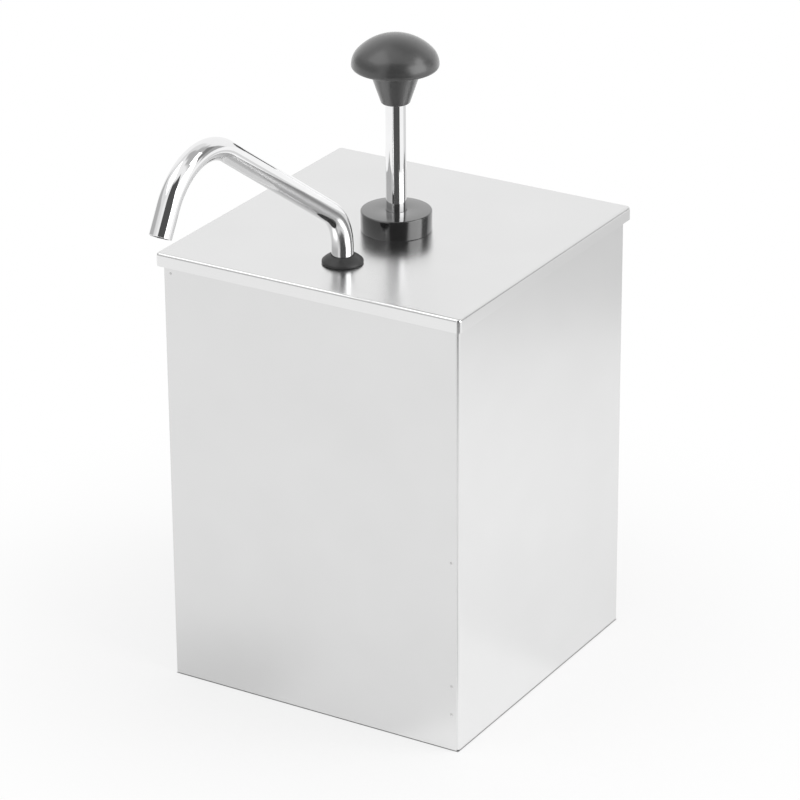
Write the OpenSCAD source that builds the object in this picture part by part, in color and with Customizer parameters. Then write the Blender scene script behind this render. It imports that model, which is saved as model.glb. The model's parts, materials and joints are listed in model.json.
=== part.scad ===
// Countertop sauce pump dispenser: a square steel case with a lift-out
// container, a lift-off lid and a hand pump that feeds a bent spout.
// Origin: centre of the underside. +Z is up and the spout points along -Y.

/* [Case] */
// Width of the case from side to side
case_w = 194; // [170:1:240]
// Depth of the case from front to back
case_d = 194; // [170:1:240]
// Height from the table to the top face of the lid
total_h = 269; // [250:1:320]
// Thickness of the case's steel sheet
case_t = 1; // [0.6:0.1:1.4]
// Outer radius of the bends in the case's sheet
bend_r = 2; // [1.5:0.25:3]
// Width of the lip turned in round the top of the case
lip_w = 9; // [6:0.5:14]
// Gap where two lips meet at a corner
lip_gap = 0.3; // [0.2:0.1:1]
// Width of the flanges that the front panel is welded to
flange_w = 14; // [8:1:25]
// How far the front panel's side edges stop short of the case's sides
seam_w = 1; // [0.5:0.25:2]
// Height of the turned-up edge of the base tray
tray_h = 10; // [6:0.5:10]

/* [Container] */
// Gap between the container's wall and the case's lip
tub_gap = 1.5; // [1:0.25:4]
// Wall thickness of the container
tub_t = 1; // [0.6:0.1:1.5]
// Outer radius of the container's upright corners
tub_r = 22; // [14:1:30]
// Outer radius of the container's bottom edge
tub_floor_r = 8; // [4:0.5:12]
// Gap between the base tray and the container's floor
tub_floor_gap = 11; // [10:0.5:16]
// How far the container's rim stops short of the case's outer face
tub_rim_inset = 1.5; // [1:0.25:3]

/* [Lid] */
// How far the lid stands out past the case on each side
lid_over = 3; // [2:0.25:5]
// Height of the lid's turned-down rim
lid_rim_h = 8; // [6:0.5:14]
// Thickness of the lid's sheet
lid_t = 1.2; // [0.8:0.1:1.6]
// Outer radius of the fold between the lid's top and its rim
lid_fold_r = 1.8; // [1.7:0.1:3]
// Outer radius of the lid's upright corners
lid_corner_r = 2.6; // [2.4:0.1:5]
// Clearance round what passes through or screws on, on the radius
hole_gap = 0.3; // [0.2:0.05:0.5]

/* [Cap] */
// Diameter of the black cap that clamps the pump to the lid
cap_d = 41.5; // [38:0.5:46]
// Height of the cap
cap_h = 12; // [10:0.5:16]
// Thickness of the cap's top
cap_top_t = 3; // [2:0.25:4]
// Chamfer round the cap's edges
cap_chamfer = 0.5; // [0.3:0.1:1]
// Clearance between the cap and the thread of the pump's neck, on the radius
thread_gap = 0.1; // [0.05:0.05:0.2]

/* [Knob] */
// Diameter of the mushroom knob
knob_d = 50.2; // [44:0.2:54]
// Height of the knob's dome above its widest part
dome_h = 17.5; // [15.5:0.5:22]
// Radius of the dome's crown
crown_r = 30; // [27.5:0.5:38]
// Radius of the rounding under the knob's rim
knob_rim_r = 2.5; // [2:0.25:4]
// Height of the knob's tapered neck below its rim
neck_h = 20.5; // [14:0.5:26]
// Diameter at the bottom of the knob's neck
neck_low_d = 16.4; // [15:0.2:20]
// Diameter at the top of the knob's neck
neck_high_d = 30.4; // [26:0.2:36]
// Radius of the rounding round the neck's lower end
neck_round_r = 1.2; // [0.5:0.1:1.8]
// Diameter of the brass insert in the knob
insert_d = 12; // [10.5:0.25:13]
// Length of the brass insert
insert_len = 15; // [12:0.5:17]

/* [Plunger] */
// Diameter of the pump rod
rod_d = 12; // [10:0.5:14]
// Bare rod between the cap and the knob with the pump at rest
rod_show = 65; // [60:1:80]
// Diameter of the studs at both ends of the rod
stud_d = 8; // [6:0.5:8.5]
// Length of the stud inside the knob
knob_stud_len = 14; // [10:0.5:15]
// How far the knob goes down when it is pressed
stroke = 55; // [30:1:55]
// Running clearance of the rod in its bush, on the radius
rod_gap = 0.06; // [0.02:0.01:0.1]
// Diameter of the stop collar on the rod
stop_d = 20; // [17:0.5:24]
// Height of the stop collar
stop_h = 8; // [5:0.5:12]
// Gap between the stop collar and the bush at rest
stop_gap = 0.2; // [0.1:0.05:0.5]

/* [Piston] */
// Height of the piston
piston_h = 14; // [12:0.5:20]
// Running clearance of the piston in the barrel, on the radius
piston_gap = 0.1; // [0.03:0.01:0.1]
// Thickness of the piston's sealing ring
piston_ring_d = 3.5; // [2.5:0.25:4]
// Thickness of the washer under the piston
washer_t = 1.5; // [1:0.25:2.5]
// Diameter of the washer under the piston
washer_d = 17; // [14:0.5:18]
// Width across the flats of the nut under the piston
piston_nut_af = 13; // [12:0.5:14]
// Height of the nut under the piston
piston_nut_h = 6.5; // [5:0.5:8]

/* [Barrel] */
// Bore of the pump barrel
bore_d = 28; // [26:0.5:30]
// Wall thickness of the pump barrel
barrel_t = 2; // [1.5:0.25:2.5]
// Diameter of the flange under the lid
barrel_flange_d = 42; // [38:0.5:50]
// Thickness of the flange under the lid
barrel_flange_t = 2; // [1.5:0.25:3]
// Thickness of the gasket between the flange and the lid
gasket_t = 1; // [0.8:0.1:2]
// Length of the bush that guides the rod
bush_len = 14; // [10:0.5:20]
// Thickness of the bush's flange on top of the barrel
bush_flange_t = 1.5; // [1:0.25:2]
// Diameter of the wiper ring round the rod
wiper_d = 18; // [16:0.5:20]
// Height of the wiper ring
wiper_h = 3; // [2:0.25:4]
// Diameter of the vent holes near the top of the barrel
vent_d = 4; // [2:0.5:6]

/* [Foot valve] */
// Gap between the container's floor and the foot of the pump
foot_gap = 4; // [3:0.5:8]
// Diameter of the valve block
block_d = 40; // [37:0.5:44]
// Depth of the socket that holds the barrel
socket_h = 12; // [8:0.5:16]
// Diameter of the inlet ball
inlet_ball_d = 14; // [12:0.5:16]
// Diameter of the inlet hole
inlet_d = 10; // [7:0.5:10.5]
// Length of the inlet hole below the ball
inlet_len = 6; // [5:0.5:8]
// How far each ball lifts off its seat
ball_lift = 4; // [2:0.25:5]
// Clearance between a ball and its seat
ball_gap = 0.1; // [0.05:0.05:0.3]
// Thickness of the cage plate above the inlet ball
cage_t = 2; // [1.5:0.25:3]
// Diameter of the passage from the pump to the riser
duct_d = 8; // [6:0.5:8]
// Diameter of the arm round that passage
arm_d = 16; // [12:0.5:17]

/* [Riser and union] */
// Diameter of the outlet ball
outlet_ball_d = 11; // [10:0.25:12]
// Diameter of the boss that holds the riser
boss_d = 20; // [19:0.5:22]
// Diameter of the pin that holds the outlet ball down
outlet_pin_d = 2.5; // [2:0.25:3]
// Depth of the riser's socket
riser_socket_h = 12; // [8:0.5:16]
// Width across the flats of the two union nuts
union_af = 26; // [25:0.5:30]
// Height of the two union nuts
union_nut_h = 15; // [13:0.5:18]
// Thickness of the top of a union nut
union_lip_t = 3; // [2:0.25:4]
// Thickness of the sealing rings round the tubes
seal_d = 2; // [1.5:0.25:2.5]
// Height of the union's top face below the lid's underside
union_drop = 28; // [24:0.5:40]
// Diameter of the collar on the spout's lower end
collar_d = 18; // [16:0.5:18.5]
// Height of that collar
collar_h = 5; // [3:0.25:6]

/* [Spout] */
// Distance from the pump to the spout
spout_y = 59; // [50:0.5:66]
// Outer diameter of the spout's tube
spout_d = 12.7; // [11:0.1:14]
// Wall thickness of the spout's tube
spout_t = 1; // [0.8:0.1:1.5]
// Straight rise of the tube above the lid
spout_rise = 9.5; // [8:0.5:30]
// Radius of the lower bend, to the tube's middle
low_bend_r = 31; // [20:1:45]
// Slope of the arm above the horizontal
arm_slope = 34; // [15:1:50]
// Straight length of the arm
arm_len = 121.5; // [80:0.5:150]
// Radius of the upper bend, to the tube's middle
high_bend_r = 40; // [25:1:50]
// Slope of the tip below the horizontal
tip_slope = 60; // [30:1:90]
// Straight length of the tip
tip_len = 16; // [8:0.5:40]
// Diameter of the rubber grommet
grommet_d = 23.8; // [21:0.2:30]
// Height of the grommet's dome, measured as if it had no hole
grommet_h = 6.4; // [5:0.2:8]
// Height of the upright rim below the grommet's dome
grommet_rim_h = 1.4; // [0.6:0.2:2.4]
// Thickness of the grommet's foot under the lid
grommet_foot_t = 2.5; // [1.5:0.25:4]
// Running clearance of the tube in the grommet and the union, on the radius
swivel_gap = 0.1; // [0.05:0.01:0.1]

/* [Spring] */
// Length of the return spring with the pump at rest
spring_len = 80; // [78:0.5:100]
// Outer diameter of the return spring
spring_d = 24; // [22:0.5:25.5]
// Diameter of the spring's wire
wire_d = 1.8; // [1.4:0.1:2]
// Number of turns in the return spring
spring_turns = 11; // [8:1:12]
// Gap between the spring's ends and what they push on
spring_seat_gap = 0.3; // [0.1:0.05:0.5]

/* [Hidden] */
$fn = 96;

// Heights, from the lid down
lid_low = total_h - lid_t;
case_h = lid_low - tub_t;
tub_low = case_t + tub_floor_gap;
tub_h = lid_low - tub_low;
lid_w = case_w + 2 * lid_over;
lid_d = case_d + 2 * lid_over;

// The container's plan
tub_w = case_w - 2 * (lip_w + tub_gap);
tub_d = case_d - 2 * (lip_w + tub_gap);

// The pump above the lid
cap_top = total_h + cap_h;
neck_top = cap_top - cap_top_t - bush_flange_t;
bush_low = neck_top - bush_len;
knob_low = cap_top + rod_show;
rim_z = knob_low + neck_h + knob_rim_r;
knob_top = rim_z + dome_h;

// The barrel
barrel_d = bore_d + 2 * barrel_t;
flange_top = lid_low - gasket_t;
rod_bore_d = rod_d + 2 * rod_gap;

// The foot valve
block_low = tub_low + tub_t + foot_gap;
inlet_r = inlet_d / 2;
inlet_ball_r = inlet_ball_d / 2;
inlet_rise = sqrt(inlet_ball_r * inlet_ball_r - inlet_r * inlet_r);
inlet_ball_z = block_low + inlet_len + inlet_rise;
cage_stop_z = inlet_ball_z + inlet_ball_r + ball_lift + 2 * ball_gap;
ledge_z = cage_stop_z + 2;
barrel_low = ledge_z;
cage_top = ledge_z + cage_t;
block_top = barrel_low + socket_h;
duct_z = inlet_ball_z + inlet_ball_r;
chamber_d = inlet_ball_d + 4;

// The piston
piston_low = cage_top + spring_len;
piston_top = piston_low + piston_h;
piston_d = bore_d - 2 * piston_gap;
washer_low = piston_low - washer_t;
piston_nut_low = washer_low - piston_nut_h;
stud_low = piston_nut_low - 2;

// The riser and its two unions
tube_bore_d = spout_d - 2 * spout_t;
slip_d = spout_d + 2 * swivel_gap;
outlet_r = duct_d / 2;
outlet_ball_r = outlet_ball_d / 2;
outlet_rise = sqrt(outlet_ball_r * outlet_ball_r - outlet_r * outlet_r);
outlet_seat_z = duct_z + duct_d / 2 + 2;
outlet_ball_z = outlet_seat_z + outlet_rise;
outlet_pin_z = outlet_ball_z + outlet_ball_r + ball_lift + 2 * ball_gap + outlet_pin_d / 2;
riser_low = outlet_pin_z + outlet_pin_d / 2 + 2;
boss_top = riser_low + riser_socket_h;
union_top = lid_low - union_drop;
union_h = 2 * riser_socket_h + 2;
riser_top = union_top - riser_socket_h - 2;
spout_low = riser_top + 2;
collar_low = union_top + hole_gap;
nut_cavity = union_nut_h - union_lip_t;
low_nut_low = boss_top - nut_cavity;
top_nut_low = collar_low + collar_h + hole_gap - nut_cavity;
seal_seat = seal_d + 0.4;

// The spout's middle line, as reach in front of its foot and height
bend_thin = 0.02;
run_over = 0.3;
bend1_z = total_h + spout_rise;
bend1_end = [low_bend_r * (1 - sin(arm_slope)), bend1_z + low_bend_r * cos(arm_slope)];
arm_end = bend1_end + arm_len * [cos(arm_slope), sin(arm_slope)];
bend2_mid = arm_end + high_bend_r * [sin(arm_slope), -cos(arm_slope)];
bend2_end = bend2_mid + high_bend_r * [sin(tip_slope), cos(tip_slope)];

// Shared shapes

// A rectangle with round corners, about the origin
module round_rect(w, d, r) {
    square([w - 2 * r, d], center = true);
    square([w, d - 2 * r], center = true);
    for (x = [-1, 1])
        for (y = [-1, 1])
            translate([x * (w / 2 - r), y * (d / 2 - r)])
                circle(r = r);
}

// A pressed tray shape standing on z = 0, with round corners and a round bottom edge
module pressed_box(w, d, h, corner, edge) {
    translate([0, 0, edge])
        linear_extrude(height = h - edge)
            round_rect(w, d, corner);
    linear_extrude(height = h)
        round_rect(w - 2 * edge, d - 2 * edge, corner - edge);
    for (x = [-1, 1])
        translate([x * (w / 2 - edge), 0, edge])
            rotate([90, 0, 0])
                cylinder(r = edge, h = d - 2 * corner, center = true);
    for (y = [-1, 1])
        translate([0, y * (d / 2 - edge), edge])
            rotate([0, 90, 0])
                cylinder(r = edge, h = w - 2 * corner, center = true);
    for (x = [-1, 1])
        for (y = [-1, 1])
            translate([x * (w / 2 - corner), y * (d / 2 - corner), edge])
                rotate_extrude()
                    intersection() {
                        translate([corner - edge, 0])
                            circle(r = edge);
                        translate([0, -edge])
                            square([corner, 2 * edge]);
                    }
}

// A lip along one side of the case, for a side that faces -Y: the sheet turns in
// over a quarter circle and then runs flat
module case_lip(len) {
    rotate([90, 0, 90])
        translate([0, 0, -len / 2])
            linear_extrude(height = len) {
                translate([bend_r, -case_t])
                    square([lip_w - bend_r, case_t]);
                intersection() {
                    translate([0, -bend_r])
                        square([bend_r, bend_r]);
                    translate([bend_r, -bend_r])
                        difference() {
                            circle(r = bend_r);
                            circle(r = bend_r - case_t);
                        }
                }
            }
}

module ring(r_out, r_in, z0, z1) {
    translate([0, 0, z0])
        difference() {
            cylinder(r = r_out, h = z1 - z0);
            translate([0, 0, -1])
                cylinder(r = r_in, h = z1 - z0 + 2);
        }
}

module bore(r, z0, z1) {
    translate([0, 0, z0])
        cylinder(r = r, h = z1 - z0);
}

// Moves children from the pump's line to the spout's line
module at_spout() {
    translate([0, -spout_y, 0])
        children();
}

// Cross section of the spout's tube, with a little off both faces of its wall
module tube_section(thin = 0) {
    difference() {
        circle(d = spout_d - 2 * thin);
        circle(d = tube_bore_d + 2 * thin);
    }
}

// A straight piece of the spout in its own plane, from a point along a slope,
// with what it reaches over the bends before and after it
module tube_run(from, slope, len, before, after) {
    translate([from[0], from[1], 0])
        rotate([0, 0, slope])
            rotate([0, 90, 0])
                translate([0, 0, -before])
                    linear_extrude(height = before + len + after)
                        tube_section();
}

// A bend of the spout in its own plane, between two directions from its middle:
// bending leaves its wall a touch thinner than the straight pieces'
module tube_bend(mid, r, a0, a1) {
    translate([mid[0], mid[1], 0])
        rotate([0, 0, a0])
            rotate_extrude(angle = a1 - a0)
                translate([r, 0])
                    tube_section(bend_thin);
}

// The case

// Left, back and right walls bent from one sheet, with the welding flanges
module case_wrap() {
    color([0.80, 0.80, 0.80]) {
        linear_extrude(height = case_h - bend_r)
            difference() {
                translate([0, case_t / 2])
                    round_rect(case_w, case_d - case_t, bend_r);
                translate([0, case_t / 2])
                    round_rect(case_w - 2 * case_t, case_d - 3 * case_t, bend_r - case_t);
                translate([-case_w / 2 + flange_w, -case_d / 2])
                    square([case_w - 2 * flange_w, 3 * case_t]);
            }
        for (side = [-1, 1])
            translate([side * case_w / 2, (case_t + bend_r - lip_w - lip_gap) / 2, case_h])
                rotate([0, 0, side * 90])
                    case_lip(case_d - case_t - bend_r - lip_w - lip_gap);
        translate([0, case_d / 2, case_h])
            rotate([0, 0, 180])
                case_lip(case_w - 2 * bend_r);
    }
}

// The front sheet, welded over the flanges, with its own lip
module front_panel() {
    color([0.82, 0.82, 0.82]) {
        translate([-case_w / 2 + seam_w, -case_d / 2, 0])
            cube([case_w - 2 * seam_w, case_t, case_h - bend_r]);
        translate([0, -case_d / 2, case_h])
            case_lip(case_w - 2 * (lip_w + lip_gap));
    }
}

// The bottom sheet, with its edge turned up inside the walls
module base_tray() {
    inner_d = case_d - 3 * case_t;
    color([0.76, 0.76, 0.76])
        translate([0, case_t / 2, 0])
            difference() {
                linear_extrude(height = tray_h)
                    round_rect(case_w - 2 * case_t, inner_d, bend_r);
                translate([0, 0, case_t])
                    linear_extrude(height = tray_h)
                        round_rect(case_w - 4 * case_t, inner_d - 2 * case_t, bend_r - case_t / 2);
            }
}

// The container

// A pressed tub whose rim hangs on the case's lip
module container() {
    color([0.78, 0.78, 0.78])
        translate([0, 0, tub_low])
            difference() {
                union() {
                    pressed_box(tub_w, tub_d, tub_h, tub_r, tub_floor_r);
                    translate([0, 0, tub_h - tub_t])
                        linear_extrude(height = tub_t)
                            round_rect(case_w - 2 * tub_rim_inset, case_d - 2 * tub_rim_inset,
                                bend_r + tub_rim_inset);
                }
                translate([0, 0, tub_t])
                    pressed_box(tub_w - 2 * tub_t, tub_d - 2 * tub_t, tub_h, tub_r - tub_t,
                        tub_floor_r - tub_t);
            }
}

// The lid

module lid() {
    color([0.84, 0.84, 0.84])
        difference() {
            translate([0, 0, total_h])
                mirror([0, 0, 1])
                    difference() {
                        pressed_box(lid_w, lid_d, lid_rim_h, lid_corner_r, lid_fold_r);
                        translate([0, 0, lid_t])
                            pressed_box(lid_w - 2 * lid_t, lid_d - 2 * lid_t, lid_rim_h,
                                lid_corner_r - lid_t, lid_fold_r - lid_t);
                    }
            bore(barrel_d / 2 + hole_gap, lid_low - 1, total_h + 1);
            at_spout()
                bore(spout_d / 2 + grommet_foot_t, lid_low - 1, total_h + 1);
        }
}

// The black cap that screws on the pump's neck and clamps the lid
module cap_nut() {
    color([0.10, 0.10, 0.10])
        difference() {
            union() {
                bore(cap_d / 2, total_h + cap_chamfer, cap_top - cap_chamfer);
                translate([0, 0, total_h])
                    cylinder(r1 = cap_d / 2 - cap_chamfer, r2 = cap_d / 2, h = cap_chamfer);
                translate([0, 0, cap_top - cap_chamfer])
                    cylinder(r1 = cap_d / 2, r2 = cap_d / 2 - cap_chamfer, h = cap_chamfer);
            }
            bore(barrel_d / 2 + thread_gap, total_h - 1, cap_top - cap_top_t);
            bore(rod_bore_d / 2, total_h - 1, cap_top + 1);
        }
}

// The bush that guides the rod in the top of the barrel
module rod_bush() {
    top = cap_top - cap_top_t;
    color([0.92, 0.92, 0.90])
        difference() {
            union() {
                bore(bore_d / 2, bush_low, top);
                bore(barrel_d / 2, neck_top, top);
            }
            bore(rod_bore_d / 2, bush_low - 1, top + 1);
            bore(wiper_d / 2, top - wiper_h, top + 1);
        }
}

module rod_wiper() {
    color([0.15, 0.15, 0.15])
        ring(wiper_d / 2, rod_bore_d / 2, cap_top - cap_top_t - wiper_h, cap_top - cap_top_t);
}

module neck_gasket() {
    color([0.20, 0.20, 0.20])
        ring(barrel_flange_d / 2, barrel_d / 2, flange_top, lid_low);
}

// The pump barrel: threaded neck, flange under the lid, vents and a long bore
module barrel() {
    vent_z = bush_low - stop_h - 2 * vent_d;
    color([0.80, 0.80, 0.82])
        difference() {
            union() {
                bore(barrel_d / 2, barrel_low, neck_top);
                bore(barrel_flange_d / 2, flange_top - barrel_flange_t, flange_top);
            }
            bore(bore_d / 2, barrel_low - 1, neck_top + 1);
            translate([0, 0, vent_z])
                rotate([0, 90, 0])
                    cylinder(d = vent_d, h = barrel_d + 2, center = true);
        }
}

// The foot valve

// One block holds the barrel, the inlet seat, the passage and the riser's boss
module valve_block() {
    color([0.90, 0.90, 0.88])
        difference() {
            union() {
                bore(block_d / 2, block_low, block_top);
                translate([0, 0, duct_z])
                    rotate([90, 0, 0])
                        cylinder(d = arm_d, h = spout_y);
                at_spout() {
                    bore(boss_d / 2 + 2, duct_z - arm_d / 2, low_nut_low - 1);
                    bore(boss_d / 2, duct_z - arm_d / 2, boss_top);
                }
            }
            // inlet side
            bore(inlet_r, block_low - 1, inlet_ball_z);
            translate([0, 0, inlet_ball_z])
                sphere(r = inlet_ball_r + ball_gap);
            bore(chamber_d / 2, inlet_ball_z, ledge_z);
            bore(barrel_d / 2, ledge_z, block_top + 1);
            // slots that let the sauce in under the block
            for (a = [45, 135])
                rotate([0, 0, a])
                    translate([-block_d, -inlet_d / 2, block_low - 1])
                        cube([2 * block_d, inlet_d, 4]);
            // passage to the riser
            translate([0, 0, duct_z])
                rotate([90, 0, 0])
                    cylinder(d = duct_d, h = spout_y);
            at_spout() {
                bore(outlet_r, duct_z, outlet_ball_z);
                translate([0, 0, outlet_ball_z])
                    sphere(r = outlet_ball_r + ball_gap);
                bore(outlet_ball_r + 0.6, outlet_ball_z, riser_low);
                bore(spout_d / 2, riser_low, boss_top + 1);
                bore(spout_d / 2 + seal_d, boss_top - seal_seat, boss_top + 1);
                translate([0, 0, outlet_pin_z])
                    rotate([0, 90, 0])
                        cylinder(d = outlet_pin_d, h = boss_d + 6, center = true);
            }
        }
}

// The plate that keeps the inlet ball down and carries the spring
module ball_cage() {
    color([0.78, 0.78, 0.78])
        difference() {
            union() {
                bore(bore_d / 2, ledge_z, cage_top);
                bore(inlet_r, cage_stop_z, ledge_z);
            }
            for (a = [0 : 60 : 300])
                rotate([0, 0, a])
                    translate([(inlet_r + chamber_d / 2) / 2, 0, cage_stop_z - 1])
                        cylinder(d = (chamber_d - inlet_d) / 2 - 0.6, h = cage_t + 5);
        }
}

module outlet_pin() {
    color([0.75, 0.75, 0.75])
        at_spout()
            translate([0, 0, outlet_pin_z])
                rotate([0, 90, 0])
                    cylinder(d = outlet_pin_d, h = boss_d + 3, center = true);
}

module inlet_ball() {
    color([0.85, 0.85, 0.85])
        translate([0, 0, inlet_ball_z])
            sphere(d = inlet_ball_d);
}

module outlet_ball() {
    color([0.85, 0.85, 0.85])
        at_spout()
            translate([0, 0, outlet_ball_z])
                sphere(d = outlet_ball_d);
}

// Riser and union

module riser_tube() {
    color([0.80, 0.80, 0.80])
        at_spout()
            ring(spout_d / 2, tube_bore_d / 2, riser_low, riser_top);
}

// A six-sided nut that screws over a thread of boss_d from below
module tube_nut(low, tube_r) {
    top = low + union_nut_h;
    difference() {
        translate([0, 0, low])
            cylinder(r = union_af / 2 / cos(30), h = union_nut_h, $fn = 6);
        bore(boss_d / 2 + thread_gap, low - 1, top - union_lip_t);
        bore(tube_r, low - 1, top + 1);
    }
}

module riser_nut() {
    color([0.72, 0.72, 0.74])
        at_spout()
            tube_nut(low_nut_low, spout_d / 2 + thread_gap);
}

module riser_seal() {
    color([0.15, 0.15, 0.15])
        at_spout()
            ring(spout_d / 2 + seal_d, spout_d / 2, boss_top - seal_seat, boss_top);
}

// The socket on top of the riser in which the spout turns
module union_body() {
    low = union_top - union_h;
    color([0.74, 0.74, 0.76])
        at_spout()
            difference() {
                bore(boss_d / 2, low, union_top);
                bore(spout_d / 2, low - 1, riser_top);
                bore(tube_bore_d / 2, low - 1, spout_low);
                bore(slip_d / 2, spout_low - hole_gap, union_top + 1);
                bore(spout_d / 2 + seal_d, union_top - seal_seat, union_top + 1);
            }
}

module union_nut() {
    color([0.72, 0.72, 0.74])
        at_spout()
            tube_nut(top_nut_low, spout_d / 2 + hole_gap);
}

module spout_seal() {
    color([0.15, 0.15, 0.15])
        at_spout()
            ring(spout_d / 2 + seal_d, slip_d / 2, union_top - seal_seat, union_top);
}

// The domed rubber grommet with its upright rim, which grips the lid and lets the spout turn
module spout_grommet() {
    dome_r = grommet_d / 2;
    dome_rise = grommet_h - grommet_rim_h;
    ball_r = (dome_r * dome_r + dome_rise * dome_rise) / (2 * dome_rise);
    waist_r = spout_d / 2 + grommet_foot_t;
    color([0.12, 0.12, 0.12])
        at_spout()
            difference() {
                union() {
                    intersection() {
                        translate([0, 0, total_h + grommet_h - ball_r])
                            sphere(r = ball_r);
                        bore(dome_r, total_h, total_h + grommet_h + 1);
                    }
                    bore(waist_r, lid_low, total_h);
                    bore(waist_r + 1.5, lid_low - grommet_foot_t, lid_low);
                }
                bore(slip_d / 2, lid_low - grommet_foot_t - 1, total_h + grommet_h + 1);
            }
}

// The spout

// One tube bent twice in an upright plane, cut square at the tip
module spout_tube() {
    color([0.86, 0.86, 0.88])
        at_spout()
            rotate([90, 0, -90]) {
                tube_run([0, spout_low], 90, bend1_z - spout_low, 0, run_over);
                tube_bend([low_bend_r, bend1_z], low_bend_r, 90 + arm_slope, 180);
                tube_run(bend1_end, arm_slope, arm_len, run_over, run_over);
                tube_bend(bend2_mid, high_bend_r, 90 - tip_slope, 90 + arm_slope);
                tube_run(bend2_end, -tip_slope, tip_len, run_over, 0);
            }
}

module spout_collar() {
    color([0.80, 0.80, 0.80])
        at_spout()
            ring(collar_d / 2, spout_d / 2, collar_low, collar_low + collar_h);
}

// The plunger

// Half outline of the knob: a crown, a rounder shoulder, a rim and a tapered neck
module knob_profile() {
    r = knob_d / 2;
    // the shoulder's radius makes it meet the crown smoothly
    drop = crown_r - dome_h;
    shoulder_r = (crown_r * crown_r - r * r - drop * drop) / (2 * (crown_r - r));
    sx = r - shoulder_r;
    reach = crown_r * sx / (crown_r - shoulder_r);
    rise = crown_r * drop / (crown_r - shoulder_r);
    intersection() {
        union() {
            translate([0, rim_z]) {
                intersection() {
                    translate([0, -drop])
                        circle(r = crown_r);
                    polygon([[0, -drop], [2 * reach, 2 * rise - drop], [0, 3 * crown_r]]);
                }
                intersection() {
                    translate([sx, 0])
                        circle(r = shoulder_r);
                    square([r + 1, crown_r]);
                }
                square([sx, rise - drop]);
            }
            translate([0, rim_z - knob_rim_r])
                square([r - knob_rim_r, knob_rim_r]);
            translate([r - knob_rim_r, rim_z])
                intersection() {
                    circle(r = knob_rim_r);
                    translate([-knob_rim_r, -knob_rim_r])
                        square([2 * knob_rim_r, knob_rim_r]);
                }
            neck_profile();
        }
        translate([0, knob_low - 1])
            square([2 * r, knob_top]);
    }
}

// Half outline of the knob's neck, round at its lower end
module neck_profile() {
    low_r = neck_low_d / 2;
    high_r = neck_high_d / 2;
    k = neck_round_r;
    polygon([[0, knob_low + k], [low_r, knob_low + k], [high_r, rim_z - knob_rim_r],
        [high_r, rim_z], [0, rim_z]]);
    translate([0, knob_low])
        square([low_r - k, k]);
    translate([low_r - k, knob_low + k])
        intersection() {
            circle(r = k);
            translate([-k, -k])
                square([2 * k, k]);
        }
}

module knob() {
    color([0.14, 0.14, 0.14])
        difference() {
            rotate_extrude()
                knob_profile();
            bore(insert_d / 2, knob_low - 1, knob_low + insert_len);
        }
}

module knob_insert() {
    color([0.78, 0.65, 0.35])
        difference() {
            bore(insert_d / 2, knob_low, knob_low + insert_len);
            bore(stud_d / 2, knob_low - 1, knob_low + knob_stud_len);
        }
}

// The polished rod, with a stud at each end
module rod() {
    color([0.88, 0.88, 0.90])
        union() {
            bore(rod_d / 2, piston_top, knob_low);
            bore(stud_d / 2, knob_low - 1, knob_low + knob_stud_len);
            bore(stud_d / 2, stud_low, piston_top + 1);
        }
}

// The ring that stops the rod under its bush
module stop_collar() {
    top = bush_low - stop_gap;
    color([0.78, 0.78, 0.78])
        ring(stop_d / 2, rod_d / 2, top - stop_h, top);
}

module piston_head() {
    groove_r = piston_d / 2 - piston_ring_d;
    mid = (piston_low + piston_top) / 2;
    color([0.93, 0.93, 0.90])
        difference() {
            bore(piston_d / 2, piston_low, piston_top);
            ring(piston_d / 2 + 1, groove_r, mid - piston_ring_d / 2, mid + piston_ring_d / 2);
            bore(stud_d / 2, piston_low - 1, piston_top + 1);
        }
}

module piston_ring() {
    mid = (piston_low + piston_top) / 2;
    color([0.18, 0.18, 0.18])
        translate([0, 0, mid])
            rotate_extrude()
                translate([piston_d / 2 - piston_ring_d / 2, 0])
                    circle(d = piston_ring_d);
}

module piston_washer() {
    color([0.75, 0.75, 0.75])
        ring(washer_d / 2, stud_d / 2, washer_low, piston_low);
}

module piston_nut() {
    color([0.72, 0.72, 0.74])
        difference() {
            translate([0, 0, piston_nut_low])
                cylinder(r = piston_nut_af / 2 / cos(30), h = piston_nut_h, $fn = 6);
            bore(stud_d / 2, piston_nut_low - 1, washer_low + 1);
        }
}

// The spring

spring_rings = 8;
spring_sides = 6;
// The end turns lie closer together than the middle ones
end_pitch = wire_d + 0.7;
coil_r = (spring_d - wire_d) / 2;
spring_z0 = cage_top + spring_seat_gap + wire_d / 2;
spring_z1 = piston_low - spring_seat_gap - wire_d / 2;
mid_pitch = (spring_z1 - spring_z0 - 2 * end_pitch) / (spring_turns - 2);

function spring_z(t) =
    t < 1 ? spring_z0 + end_pitch * t :
    t > spring_turns - 1 ? spring_z1 - end_pitch * (spring_turns - t) :
    spring_z0 + end_pitch + mid_pitch * (t - 1);

function spring_mid(t) = [coil_r * cos(360 * t), coil_r * sin(360 * t), spring_z(t)];

spring_points = [for (i = [0 : spring_turns * spring_rings])
    spring_mid(i / spring_rings)];

// Smallest distance between turns, less the wire
spring_clear = min([for (i = [0 : len(spring_points) - 1])
    for (j = [i + spring_rings - 2 : 1 : min(i + spring_rings + 2, len(spring_points) - 1)])
        norm(spring_points[i] - spring_points[j])]) - wire_d;

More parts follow.
